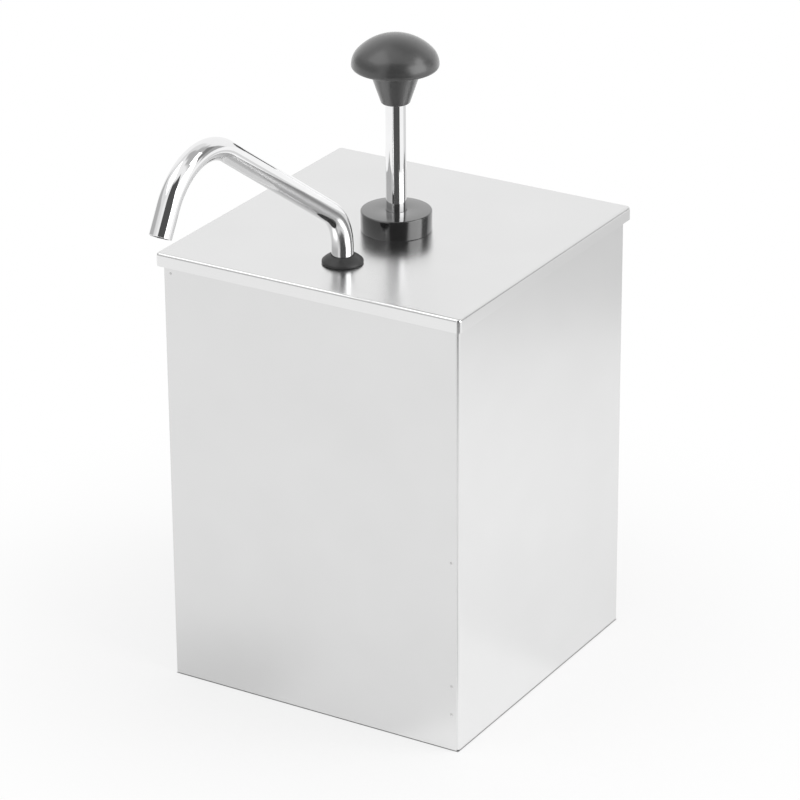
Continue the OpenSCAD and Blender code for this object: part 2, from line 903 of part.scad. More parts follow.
module return_spring() {
    echo(spring_least_gap = spring_clear);
    n = len(spring_points);
    verts = [for (i = [0 : n - 1])
        for (k = [0 : spring_sides - 1])
            let (a = 360 * i / spring_rings, b = 360 * k / spring_sides,
                c = wire_d / 2 * cos(b), s = wire_d / 2 * sin(b))
            spring_points[i] + [c * cos(a), c * sin(a), s]];
    sides = [for (i = [0 : n - 2])
        for (k = [0 : spring_sides - 1])
            let (p = i * spring_sides + k, q = i * spring_sides + (k + 1) % spring_sides)
            for (f = [[p, q, q + spring_sides], [p, q + spring_sides, p + spring_sides]])
                f];
    first = [for (k = [1 : spring_sides - 2]) [0, k + 1, k]];
    last = [for (k = [1 : spring_sides - 2])
        [(n - 1) * spring_sides, (n - 1) * spring_sides + k, (n - 1) * spring_sides + k + 1]];
    color([0.70, 0.70, 0.72])
        polyhedron(points = verts, faces = concat(sides, first, last));
}

case_wrap();
front_panel();
base_tray();
container();
lid();
cap_nut();
rod_bush();
rod_wiper();
neck_gasket();
barrel();
valve_block();
ball_cage();
outlet_pin();
riser_tube();
riser_nut();
riser_seal();
union_body();
union_nut();
spout_seal();
spout_grommet();
knob();
knob_insert();
rod();
stop_collar();
piston_head();
piston_ring();
piston_washer();
piston_nut();
return_spring();
spout_tube();
spout_collar();
inlet_ball();
outlet_ball();
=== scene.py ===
"""Countertop sauce pump dispenser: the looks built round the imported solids.

A square case of folded steel sheet holds a pressed container. The lift-off lid carries a hand
pump with a mushroom knob and a bent tube spout. Lengths are in millimetres in the classes and
become metres when a mesh is made. +Z is up and the spout points along -Y.
"""

import json
import logging
import math
from collections.abc import Callable, Iterable, Sequence
from dataclasses import dataclass
from enum import Enum

import bmesh
import bpy
from mathutils import Matrix, Vector
from mathutils.geometry import tessellate_polygon

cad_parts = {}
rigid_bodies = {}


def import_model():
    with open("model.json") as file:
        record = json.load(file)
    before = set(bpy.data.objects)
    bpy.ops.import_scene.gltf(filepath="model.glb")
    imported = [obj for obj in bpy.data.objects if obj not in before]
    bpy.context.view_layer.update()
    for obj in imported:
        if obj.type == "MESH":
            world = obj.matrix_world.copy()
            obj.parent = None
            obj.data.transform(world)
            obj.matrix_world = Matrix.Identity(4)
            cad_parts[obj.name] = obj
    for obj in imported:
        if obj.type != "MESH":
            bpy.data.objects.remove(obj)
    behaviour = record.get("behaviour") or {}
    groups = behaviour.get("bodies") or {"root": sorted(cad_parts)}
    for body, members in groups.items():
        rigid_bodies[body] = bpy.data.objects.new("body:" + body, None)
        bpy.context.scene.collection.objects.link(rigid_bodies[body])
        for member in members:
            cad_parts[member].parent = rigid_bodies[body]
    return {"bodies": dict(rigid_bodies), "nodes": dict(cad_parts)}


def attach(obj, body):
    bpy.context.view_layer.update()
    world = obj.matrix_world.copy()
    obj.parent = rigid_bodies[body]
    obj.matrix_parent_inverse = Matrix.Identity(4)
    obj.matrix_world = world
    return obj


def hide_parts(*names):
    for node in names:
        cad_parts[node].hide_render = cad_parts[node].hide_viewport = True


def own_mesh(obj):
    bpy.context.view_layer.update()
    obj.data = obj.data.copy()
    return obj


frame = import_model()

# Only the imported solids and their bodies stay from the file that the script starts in.
for leftover in set(bpy.data.objects) - {*frame["bodies"].values(), *frame["nodes"].values()}:
    bpy.data.objects.remove(leftover)
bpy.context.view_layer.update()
MM = 0.001
NEAR = 1e-6
SHARP = 35.0
ROUNDING_STEPS = 6
LOG = logging.getLogger("sauce_pump")

# Sizes that several sub-assemblies share, in millimetres.
LID_TOP = 269.0
LID_LOW = 267.8
SPOUT_Y = -59.0
SPOUT_HOLE = 8.85

Point = tuple[float, float]
Color = tuple[float, float, float]
Ring = list[Vector]
Mesh = bpy.types.Mesh
Work = bmesh.types.BMesh
Piece = bpy.types.Object
Material = bpy.types.Material
Node = bpy.types.Node
Socket = bpy.types.NodeSocket
Setup = dict[str, object]


# Plane outlines


def arc(middle: Point, radius: float, start: float, end: float, steps: int) -> list[Point]:
    """Points along a circular arc.

    Args:
        middle: Centre of the arc.
        radius: Radius of the arc.
        start: First angle in degrees.
        end: Last angle in degrees.
        steps: Number of straight steps.

    Returns:
        The arc's points, both ends included.
    """
    turns = [math.radians(start + (end - start) * i / steps) for i in range(steps + 1)]
    return [(middle[0] + radius * math.cos(t), middle[1] + radius * math.sin(t)) for t in turns]


def rounded(corners: Sequence[tuple[float, float, float]], closed: bool = True) -> list[Point]:
    """Rounds the corners of a line.

    Args:
        corners: Each corner as x, y and the radius that rounds it.
        closed: Whether the line runs back to its first corner.

    Returns:
        The points of the rounded line.
    """
    points: list[Point] = []
    count = len(corners)
    for i, (x, y, radius) in enumerate(corners):
        here = Vector((x, y))
        if radius <= 0 or (not closed and i in (0, count - 1)):
            points.append((x, y))
            continue
        back = (Vector(corners[i - 1][:2]) - here).normalized()
        ahead = (Vector(corners[(i + 1) % count][:2]) - here).normalized()
        half = back.angle(ahead) / 2
        middle = here + (back + ahead).normalized() * radius / math.sin(half)
        first = here + back * radius / math.tan(half) - middle
        last = here + ahead * radius / math.tan(half) - middle
        start = math.atan2(first.y, first.x)
        end = start - first.angle_signed(last)
        points += arc((middle.x, middle.y), radius, math.degrees(start), math.degrees(end),
                      ROUNDING_STEPS)
    return points


def quarter(radius: float, steps: int) -> list[Point]:
    """How far in and how far down the points of a quarter round lie, from its side to its top."""
    turns = [math.pi / 2 * i / steps for i in range(steps + 1)]
    return [(radius * (1 - math.cos(t)), radius * (1 - math.sin(t))) for t in turns]


def square_ring(half_x: float, half_y: float, corner: float, z: float, inset: float = 0.0,
                steps: int = 8) -> Ring:
    """A level rectangle with round corners.

    Args:
        half_x: Half its width.
        half_y: Half its depth.
        corner: Radius of its corners.
        z: Its height.
        inset: How far its sides lie inside these sizes.
        steps: Straight steps in each corner.

    Returns:
        Its points, counter-clockwise seen from above.
    """
    half_x, half_y, corner = half_x - inset, half_y - inset, corner - inset
    ring: Ring = []
    for k, (sx, sy) in enumerate(((1, 1), (-1, 1), (-1, -1), (1, -1))):
        middle = (sx * (half_x - corner), sy * (half_y - corner))
        ring += [Vector((x, y, z)) for x, y in arc(middle, corner, 90 * k, 90 * k + 90, steps)]
    return ring


def round_ring(radius: float, z: float, count: int) -> Ring:
    """A level circle's points, counter-clockwise seen from above."""
    return [Vector((radius * math.cos(2 * math.pi * i / count),
                    radius * math.sin(2 * math.pi * i / count), z)) for i in range(count)]


# Meshes


def finish_mesh(mesh: Mesh, sharp: float = SHARP) -> Mesh:
    """Shades a mesh smooth.

    Args:
        mesh: The mesh.
        sharp: Edges past this angle in degrees stay sharp.

    Returns:
        The same mesh.
    """
    mesh.polygons.foreach_set("use_smooth", [True] * len(mesh.polygons))
    mesh.set_sharp_from_angle(angle=math.radians(sharp))
    mesh.update()
    return mesh


def mesh_from(name: str, build: Callable[[Work], None], sharp: float = SHARP,
              outward: bool = True) -> Mesh:
    """Makes a mesh from lengths in millimetres.

    Args:
        name: Name of the mesh.
        build: Fills the empty mesh it is given.
        sharp: Edges past this angle in degrees stay sharp.
        outward: Whether the faces are turned to point out of a closed shape.

    Returns:
        The mesh, in metres.
    """
    work = bmesh.new()
    build(work)
    bmesh.ops.remove_doubles(work, verts=work.verts, dist=1e-5)
    if outward:
        bmesh.ops.recalc_face_normals(work, faces=work.faces)
    bmesh.ops.scale(work, vec=(MM, MM, MM), verts=work.verts)
    mesh = bpy.data.meshes.new(name)
    work.to_mesh(mesh)
    work.free()
    return finish_mesh(mesh, sharp)


def join_rings(work: Work, rings: Sequence[Ring], closed: bool = False,
               cap_last: bool = False) -> None:
    """Joins rings of as many points each by bands of faces.

    Args:
        work: The mesh that gets the faces.
        rings: The rings in order.
        closed: Whether the last ring joins the first.
        cap_last: Whether a face closes the last ring.
    """
    rows = [[work.verts.new(p) for p in ring] for ring in rings]
    for low, high in zip(rows, rows[1:] + rows[:closed]):
        for i in range(len(low)):
            j = (i + 1) % len(low)
            work.faces.new((low[i], low[j], high[j], high[i]))
    if cap_last:
        work.faces.new(rows[-1])


def turned(name: str, outline: Sequence[Point], sides: int = 96, at: Point = (0.0, 0.0),
           sharp: float = SHARP) -> Mesh:
    """Turns a closed outline round an upright axis.

    Args:
        name: Name of the mesh.
        outline: Radius and height of each point; the ends may lie on the axis.
        sides: Number of steps round the axis.
        at: Where the axis stands.
        sharp: Edges past this angle in degrees stay sharp.

    Returns:
        The closed mesh.
    """
    def build(work: Work) -> None:
        """Fills the mesh with the turned outline.

        Args:
            work: The empty mesh.
        """
        rows = []
        for radius, z in outline:
            ring = round_ring(radius, z, sides) if radius > NEAR else [Vector((0, 0, z))]
            rows.append([work.verts.new(p) for p in ring])
        for low, high in zip(rows, rows[1:] + rows[:1]):
            for i in range(sides):
                j = (i + 1) % sides
                corners = dict.fromkeys((low[i % len(low)], low[j % len(low)],
                                         high[j % len(high)], high[i % len(high)]))
                if len(corners) > 2:
                    work.faces.new(list(corners))
        bmesh.ops.translate(work, vec=(at[0], at[1], 0), verts=work.verts)

    return mesh_from(name, build, sharp)


# Nodes


class NodeBench:
    """A node tree under construction, with short calls for its nodes."""

    def __init__(self, tree: bpy.types.NodeTree) -> None:
        """Takes a tree and empties it."""
        self.tree = tree
        tree.nodes.clear()

    def join(self, node: Node, **sockets: object) -> None:
        """Fills a node's inputs.

        Args:
            node: The node.
            **sockets: Inputs by name, with _ for a space; _ and a number is an index. Each is a
                value or the socket that feeds it.
        """
        for key, value in sockets.items():
            socket = node.inputs[int(key[1:]) if key[1:].isdigit() else key.replace("_", " ")]
            if isinstance(value, Socket):
                self.tree.links.new(value, socket)
            else:
                socket.default_value = value

    def add(self, kind: str, setup: Setup | None = None, **sockets: object) -> Node:
        """Adds a node.

        Args:
            kind: The node's type.
            setup: The node's own settings.
            **sockets: Its inputs, as join takes them.

        Returns:
            The node.
        """
        made = self.tree.nodes.new(kind)
        for key, value in (setup or {}).items():
            setattr(made, key, value)
        self.join(made, **sockets)
        return made

    def math(self, operation: str, a: object, b: object = 0.0, c: object = 0.0) -> Socket:
        """Adds one sum and returns its result."""
        return self.add("ShaderNodeMath", {"operation": operation}, _0=a, _1=b, _2=c).outputs[0]

    def ramp(self, value: Socket, start: float, stop: float, low: float, high: float,
             blend: str = "SMOOTHSTEP") -> Socket:
        """Leads a value over from one number to another.

        Args:
            value: The value.
            start: Where the change starts.
            stop: Where it ends.
            low: The result before it.
            high: The result after it.
            blend: How it goes between the two.

        Returns:
            The socket of the result.
        """
        return self.add("ShaderNodeMapRange", {"interpolation_type": blend}, _0=value,
                        From_Min=start, From_Max=stop, To_Min=low, To_Max=high).outputs[0]


class Tree(NodeBench):
    """A geometry node tree; geometry nodes are named without their prefix."""

    def __init__(self, name: str) -> None:
        """Starts a tree that takes and gives a geometry.

        Args:
            name: Name of the tree.
        """
        super().__init__(bpy.data.node_groups.new(name, "GeometryNodeTree"))
        for way in ("INPUT", "OUTPUT"):
            self.tree.interface.new_socket("Geometry", in_out=way,
                                           socket_type="NodeSocketGeometry")
        self.inlet = self.tree.nodes.new("NodeGroupInput")
        self.outlet = self.tree.nodes.new("NodeGroupOutput")
        self.names: dict[str, str] = {}

    def inputs(self, kind: str, *names: str) -> list[Socket]:
        """Gives the tree named inputs of one kind.

        Args:
            kind: Their kind of value.
            *names: Their names.

        Returns:
            Their sockets inside the tree.
        """
        for name in names:
            made = self.tree.interface.new_socket(name, in_out="INPUT",
                                                  socket_type="NodeSocket" + kind)
            self.names[name] = made.identifier
        return [self.inlet.outputs[name] for name in names]

    def add(self, kind: str, setup: Setup | None = None, **sockets: object) -> Node:
        """Adds a node as the bench does, with a geometry node's prefix where it has one."""
        prefix = "" if kind.startswith(("Shader", "Function")) else "GeometryNode"
        return super().add(prefix + kind, setup, **sockets)

    def close(self, shape: Socket) -> None:
        """Ends the tree with real meshes that have the finish it is given.

        Args:
            shape: The geometry.
        """
        finish, = self.inputs("Material", "Finish")
        real = self.add("RealizeInstances", _0=shape)
        dressed = self.add("SetMaterial", Geometry=real.outputs[0], Material=finish)
        self.join(self.outlet, _0=dressed.outputs[0])

    def run(self, name: str, base: Mesh, values: Setup) -> Mesh:
        """Runs the tree once.

        Args:
            name: Name of the new mesh.
            base: The mesh that goes in.
            values: The inputs by name.

        Returns:
            The result as a plain mesh.
        """
        holder = bpy.data.objects.new(name + "_holder", base)
        bpy.context.scene.collection.objects.link(holder)
        modifier = holder.modifiers.new(name, "NODES")
        modifier.node_group = self.tree
        for key, value in values.items():
            modifier[self.names[key]] = value
        bpy.context.view_layer.update()
        ready = holder.evaluated_get(bpy.context.evaluated_depsgraph_get())
        mesh = bpy.data.meshes.new_from_object(ready)
        mesh.name = name
        bpy.data.objects.remove(holder)
        return finish_mesh(mesh)


def line_mesh(name: str, points: Iterable[Sequence[float]], joined: bool = True) -> Mesh:
    """A mesh of bare points.

    Args:
        name: Name of the mesh.
        points: The points, in millimetres.
        joined: Whether edges join them in their order.

    Returns:
        The mesh, in metres.
    """
    mesh = bpy.data.meshes.new(name)
    places = [tuple(c * MM for c in p) for p in points]
    mesh.from_pydata(places, [(i, i + 1) for i in range(len(places) - 1)] if joined else [], [])
    return mesh


def tube_tree() -> Tree:
    """Builds the tree that bends a tube with a real wall along a line with two corners.

    Returns:
        The tree.
    """
    tree = Tree("bent_tube")
    across, wall, low_bend, high_bend = tree.inputs(
        "Float", "Outer diameter", "Wall", "Low bend radius", "High bend radius")
    around, along = tree.inputs("Int", "Sides round", "Steps in a bend")
    first = tree.add("FunctionNodeCompare", {"data_type": "INT", "operation": "EQUAL"},
                     _2=tree.add("InputIndex").outputs[0], _3=1).outputs[0]
    radius = tree.add("Switch", {"input_type": "FLOAT"}, _0=first, _1=high_bend, _2=low_bend)
    path = tree.add("MeshToCurve", Mesh=tree.inlet.outputs[0]).outputs[0]
    bent = tree.add("FilletCurve", {"mode": "POLY"}, Curve=path, Count=along,
                    Radius=radius.outputs[0]).outputs[0]
    half = tree.math("MULTIPLY", across, 0.5)
    skins = []
    for size in (half, tree.math("SUBTRACT", half, wall)):
        section = tree.add("CurvePrimitiveCircle", Resolution=around, Radius=size).outputs[0]
        skins.append(tree.add("CurveToMesh", Curve=bent, Profile_Curve=section).outputs[0])
    both = tree.add("JoinGeometry", _0=tree.add("FlipFaces", Mesh=skins[1]).outputs[0])
    tree.join(both, _0=skins[0])
    tree.close(both.outputs[0])
    return tree


def coil_tree() -> Tree:
    """Builds the tree that winds a wire into a coil with close end turns.

    Returns:
        The tree.
    """
    tree = Tree("wound_wire")
    turns, radius, start, end_pitch, mid_pitch, wire = tree.inputs(
        "Float", "Turns", "Coil radius", "Start height", "End pitch", "Middle pitch",
        "Wire radius")
    around, steps = tree.inputs("Int", "Sides round", "Steps in a turn")
    coil = tree.add("CurveSpiral", Resolution=steps, Rotations=turns, Start_Radius=radius,
                    End_Radius=radius, Height=0.01).outputs[0]
    turn = tree.math("MULTIPLY", tree.add("SplineParameter").outputs["Factor"], turns)
    first = tree.math("MULTIPLY", tree.math("MINIMUM", turn, 1.0), end_pitch)
    rest = tree.math("MAXIMUM", tree.math("SUBTRACT", turn, 1.0), 0.0)
    middle_turns = tree.math("SUBTRACT", turns, 2.0)
    middle = tree.math("MULTIPLY", tree.math("MINIMUM", rest, middle_turns), mid_pitch)
    beyond = tree.math("MAXIMUM", tree.math("SUBTRACT", rest, middle_turns), 0.0)
    height = first
    for rise in (middle, tree.math("MULTIPLY", beyond, end_pitch), start):
        height = tree.math("ADD", height, rise)
    parts = tree.add("ShaderNodeSeparateXYZ", _0=tree.add("InputPosition").outputs[0])
    moved = tree.add("ShaderNodeCombineXYZ", X=parts.outputs[0], Y=parts.outputs[1], Z=height)
    lifted = tree.add("SetPosition", Geometry=coil, Position=moved.outputs[0]).outputs[0]
    section = tree.add("CurvePrimitiveCircle", Resolution=around, Radius=wire).outputs[0]
    tree.close(tree.add("CurveToMesh", Curve=lifted, Profile_Curve=section,
                        Fill_Caps=True).outputs[0])
    return tree


def mark_tree() -> Tree:
    """Builds the tree that puts a shallow round weld mark on each point of an upright sheet.

    Returns:
        The tree.
    """
    tree = Tree("weld_marks")
    width, height = tree.inputs("Float", "Mark diameter", "Mark height")
    around, = tree.inputs("Int", "Sides round")
    mark = tree.add("MeshCone", Vertices=around, Side_Segments=1, Depth=height,
                    Radius_Top=tree.math("MULTIPLY", width, 0.3),
                    Radius_Bottom=tree.math("MULTIPLY", width, 0.5)).outputs["Mesh"]
    points = tree.add("MeshToPoints", Mesh=tree.inlet.outputs[0]).outputs[0]
    tree.close(tree.add("InstanceOnPoints", Points=points, Instance=mark,
                        Rotation=(math.pi / 2, 0.0, 0.0)).outputs[0])
    return tree


# Finishes


class Grain(Enum):
    """How much finer a pattern is across each axis than along it."""

    UPRIGHT = (1.0, 1.0, 0.012)
    ACROSS = (0.012, 1.0, 1.0)
    TURNED = (0.01, 0.01, 1.0)
    EVEN = (1.0, 1.0, 1.0)


def grey(level: float, blue: float = 0.0) -> Color:
    """A grey, with more blue or less."""
    return (level, level, level + blue)


class Surface(NodeBench):
    """One material's nodes, with the patterns that its shader takes."""

    def __init__(self, name: str) -> None:
        """Starts a material with one principled shader.

        Args:
            name: Name of the material.
        """
        self.material = bpy.data.materials.new(name)
        self.material.use_nodes = True
        super().__init__(self.material.node_tree)
        self.shader = self.add("ShaderNodeBsdfPrincipled")
        self.add("ShaderNodeOutputMaterial", Surface=self.shader.outputs[0])
        self.place = self.add("ShaderNodeTexCoord").outputs["Object"]

    def noise(self, grain: Grain, scale: float, detail: float) -> Socket:
        """A noise pattern on object coordinates.

        Args:
            grain: The way the pattern is drawn out.
            scale: How many times it changes in a metre.
            detail: How many finer layers it has.

        Returns:
            The socket of its value.
        """
        spot = self.add("ShaderNodeMapping", Vector=self.place, Scale=grain.value)
        return self.add("ShaderNodeTexNoise", Vector=spot.outputs[0], Scale=scale,
                        Detail=detail).outputs["Fac"]

    def spread(self, value: Socket, low: float, high: float) -> Socket:
        """Spreads a pattern's middle part between two values."""
        return self.ramp(value, 0.3, 0.7, low, high, "LINEAR")

    def tones(self, value: Socket, dark: Color, light: Color) -> Socket:
        """Blends two colours by a pattern's middle part."""
        return self.add("ShaderNodeMix", {"data_type": "RGBA"}, _0=self.spread(value, 0.0, 1.0),
                        _6=(*dark, 1.0), _7=(*light, 1.0)).outputs[2]

    def relief(self, value: Socket, strength: float, height: float, **under: Socket) -> Socket:
        """Turns a pattern into relief.

        Args:
            value: The pattern.
            strength: How much of it shows.
            height: Its height in metres.
            **under: Another relief that lies below it, as Normal.

        Returns:
            The socket of the changed normal.
        """
        return self.add("ShaderNodeBump", Height=value, Strength=strength, Distance=height,
                        **under).outputs[0]

    def finish(self, **sockets: object) -> Material:
        """Fills the shader's inputs, as join takes them, and gives the material."""
        self.join(self.shader, **sockets)
        return self.material


@dataclass(frozen=True)
class SheetSteel:
    """Semi-polished stainless sheet: a soft mirror with a very fine grain.

    Attributes:
        name: Name of the material.
        tint: Mean colour.
        roughness: Mean roughness.
        grain: The way its polishing lines run.
        lines: How much the lines show in the roughness.
        waves: Height in metres of the sheet's slow waves.
        mirror: How much of the light it mirrors; the rest is scattered by a dull skin.
    """

    name: str
    tint: float = 0.78
    roughness: float = 0.25
    grain: Grain = Grain.UPRIGHT
    lines: float = 0.010
    waves: float = 0.00003
    mirror: float = 1.0

    def material(self) -> Material:
        """Builds the material.

        Returns:
            The material.
        """
        sheet = Surface(self.name)
        fine = sheet.noise(self.grain, scale=1900.0, detail=3.0)
        broad = sheet.noise(Grain.EVEN, scale=11.0, detail=2.0)
        clouds = sheet.noise(Grain.EVEN, scale=26.0, detail=4.0)
        slow = sheet.relief(broad, strength=1.0, height=self.waves)
        return sheet.finish(
            Base_Color=sheet.tones(clouds, grey(self.tint - 0.008), grey(self.tint + 0.008)),
            Metallic=self.mirror,
            Roughness=sheet.spread(fine, self.roughness - self.lines, self.roughness + self.lines),
            Normal=sheet.relief(fine, strength=0.02, height=0.00001, Normal=slow))


@dataclass(frozen=True)
class BrightSteel:
    """Mirror-polished steel, as on the rod and the spout.

    Attributes:
        name: Name of the material.
        tint: Mean colour.
        roughness: Mean roughness.
        grain: The way its last fine lines run.
    """

    name: str
    tint: float = 0.84
    roughness: float = 0.06
    grain: Grain = Grain.TURNED

    def material(self) -> Material:
        """Builds the material.

        Returns:
            The material.
        """
        sheet = Surface(self.name)
        fine = sheet.noise(self.grain, scale=2600.0, detail=3.0)
        cloud = sheet.noise(Grain.EVEN, scale=90.0, detail=3.0)
        return sheet.finish(
            Base_Color=sheet.tones(cloud, grey(self.tint - 0.015, 0.004),
                                   grey(self.tint + 0.015, 0.004)),
            Metallic=1.0,
            Roughness=sheet.spread(cloud, self.roughness * 0.75, self.roughness * 1.3),
            Normal=sheet.relief(fine, strength=0.05, height=0.000004))


@dataclass(frozen=True)
class TurnedMetal:
    """Metal with the fine rings that a lathe leaves.

    Attributes:
        name: Name of the material.
        dark: Colour in the rings' valleys.
        light: Colour on their crests.
        roughness: Mean roughness.
        pitch: Rings in a metre of height.
    """

    name: str
    dark: Color
    light: Color
    roughness: float = 0.3
    pitch: float = 2200.0

    def material(self) -> Material:
        """Builds the material.

        Returns:
            The material.
        """
        sheet = Surface(self.name)
        rings = sheet.noise(Grain.TURNED, scale=self.pitch, detail=2.0)
        return sheet.finish(
            Base_Color=sheet.tones(rings, self.dark, self.light), Metallic=1.0,
            Roughness=sheet.spread(rings, self.roughness - 0.07, self.roughness + 0.07),
            Normal=sheet.relief(rings, strength=0.14, height=0.00002))


@dataclass(frozen=True)
class Plastic:
    """Moulded plastic with a faint cloud in its gloss.

    Attributes:
        name: Name of the material.
        dark: Darker tone.
        light: Lighter tone.
        roughness: Mean roughness.
        gloss: Weight of the clear gloss on top.
        relief: Height in metres of the moulded skin's unevenness.
        index: Its index of refraction.
        gloss_roughness: Roughness of the clear gloss.
    """

    name: str
    dark: Color
    light: Color
    roughness: float = 0.3
    gloss: float = 0.0
    relief: float = 0.000006
    index: float = 1.5
    gloss_roughness: float = 0.05

    def material(self) -> Material:
        """Builds the material.

        Returns:
            The material.
        """
        sheet = Surface(self.name)
        cloud = sheet.noise(Grain.EVEN, scale=60.0, detail=4.0)
        skin = sheet.noise(Grain.EVEN, scale=1500.0, detail=2.0)
        return sheet.finish(
            Base_Color=sheet.tones(cloud, self.dark, self.light),
            Roughness=sheet.spread(cloud, self.roughness * 0.85, self.roughness * 1.15),
            IOR=self.index, Coat_Weight=self.gloss, Coat_Roughness=self.gloss_roughness,
            Normal=sheet.relief(skin, strength=0.25, height=self.relief))


@dataclass(frozen=True)
class Rubber:
    """Black moulded rubber with a dull bloom.

    Attributes:
        name: Name of the material.
        dark: Darker tone.
        light: Tone of the bloom.
        roughness: Mean roughness.
    """

    name: str
    dark: Color = grey(0.024)
    light: Color = grey(0.042)
    roughness: float = 0.45

    def material(self) -> Material:
        """Builds the material.

        Returns:
            The material.
        """
        sheet = Surface(self.name)
        bloom = sheet.noise(Grain.EVEN, scale=240.0, detail=5.0)
        return sheet.finish(
            Base_Color=sheet.tones(bloom, self.dark, self.light),
            Roughness=sheet.spread(bloom, self.roughness - 0.08, self.roughness + 0.08),
            Normal=sheet.relief(bloom, strength=0.3, height=0.00003))


class Finishes:
    """Every finish of the dispenser, built once."""

    def __init__(self) -> None:
        """Builds the materials."""
        self.wrap = SheetSteel("wrap_steel", 0.735, 0.26).material()
        self.front = SheetSteel("front_steel", 0.70, 0.26).material()
        self.tray = SheetSteel("tray_steel", 0.70, 0.34, Grain.ACROSS, mirror=0.65).material()
        self.tub = SheetSteel("tub_steel", 0.74, 0.32, Grain.EVEN, mirror=0.65).material()
        self.lid = SheetSteel("lid_steel", 0.76, 0.24, Grain.ACROSS).material()
        self.spout = BrightSteel("spout_steel").material()
        self.rod = BrightSteel("rod_steel", roughness=0.05).material()
        self.ball = BrightSteel("ball_steel", 0.78, 0.12, Grain.EVEN).material()
        self.fitting = TurnedMetal("fitting_steel", grey(0.62, 0.02), grey(0.74, 0.02),
                                   0.28).material()
        self.barrel = TurnedMetal("barrel_steel", grey(0.66, 0.02), grey(0.76, 0.02),
                                  0.26).material()
        self.small = TurnedMetal("small_steel", grey(0.60, 0.01), grey(0.70, 0.01),
                                 0.32).material()
        self.spring = TurnedMetal("spring_steel", grey(0.50, 0.02), grey(0.60, 0.02), 0.35,
                                  pitch=5200.0).material()
        self.brass = TurnedMetal("insert_brass", (0.55, 0.40, 0.15), (0.68, 0.52, 0.24),
                                 0.3).material()
        self.weld = TurnedMetal("weld_mark", grey(0.60), grey(0.67, -0.01), 0.5,
                                pitch=3000.0).material()
        self.cap = Plastic("cap_plastic", grey(0.010), grey(0.014), 0.10, gloss=1.0,
                           relief=0.000002, index=1.65).material()
        self.knob = Plastic("knob_plastic", grey(0.030), grey(0.036), 0.42, gloss=0.8,
                            index=1.6, gloss_roughness=0.22).material()
        self.pale = Plastic("pale_plastic", grey(0.72, -0.04), grey(0.80, -0.04), 0.42,
                            relief=0.00002).material()
        self.grommet = Rubber("grommet_rubber").material()
        self.seal = Rubber("seal_rubber", grey(0.012), grey(0.022), 0.5).material()


# Placing pieces


def place(name: str, mesh: Mesh, finish: Material, body: str, slot: str, *nodes: str) -> Piece:
    """Puts a finished mesh into the scene.

    Args:
        name: Name of the piece.
        mesh: Its mesh, in place.
        finish: Its material.
        body: The body that it rides on.
        slot: The record's slot for its finish; not used.
        *nodes: The solids that it stands for.

    Returns:
        The object.
    """
    piece = bpy.data.objects.new(name, mesh)
    bpy.context.scene.collection.objects.link(piece)
    mesh.materials.clear()
    mesh.materials.append(finish)
    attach(piece, body)
    if nodes:
        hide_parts(*nodes)
    LOG.info("%s: %d faces on %s", name, len(mesh.polygons), body)
    return piece


def soften(piece: Piece, width: float, segments: int, angle: float) -> None:
    """Rounds a piece's edges.

    Args:
        piece: The piece.
        width: Width of the rounding.
        segments: Number of faces across it.
        angle: Edges past this angle in degrees get it.
    """
    bevel = piece.modifiers.new("edge", "BEVEL")
    bevel.width = width * MM
    bevel.segments = segments
    bevel.limit_method = "ANGLE"
    bevel.angle_limit = math.radians(angle)


def thicken(piece: Piece, sheet: float, edge: float) -> None:
    """Gives a sheet its thickness behind its face and softens its cut edges.

    Args:
        piece: The sheet's face.
        sheet: The sheet's thickness.
        edge: Width of the rounding on its cut edges.
    """
    solid = piece.modifiers.new("sheet", "SOLIDIFY")
    solid.thickness = sheet * MM
    solid.offset = -1.0
    solid.use_even_offset = True
    solid.use_quality_normals = True
    soften(piece, edge, segments=2, angle=50)
    piece.modifiers.new("flat", "WEIGHTED_NORMAL").keep_sharp = True


def dress(finish: Material, *nodes: str) -> None:
    """Gives solids that stay as they are a finish.

    Args:
        finish: The material.
        *nodes: The solids.
    """
    for name in nodes:
        for holder in frame["nodes"][name].material_slots:
            holder.material = finish
        LOG.info("%s: dressed in %s", name, finish.name)


# Sub-assemblies


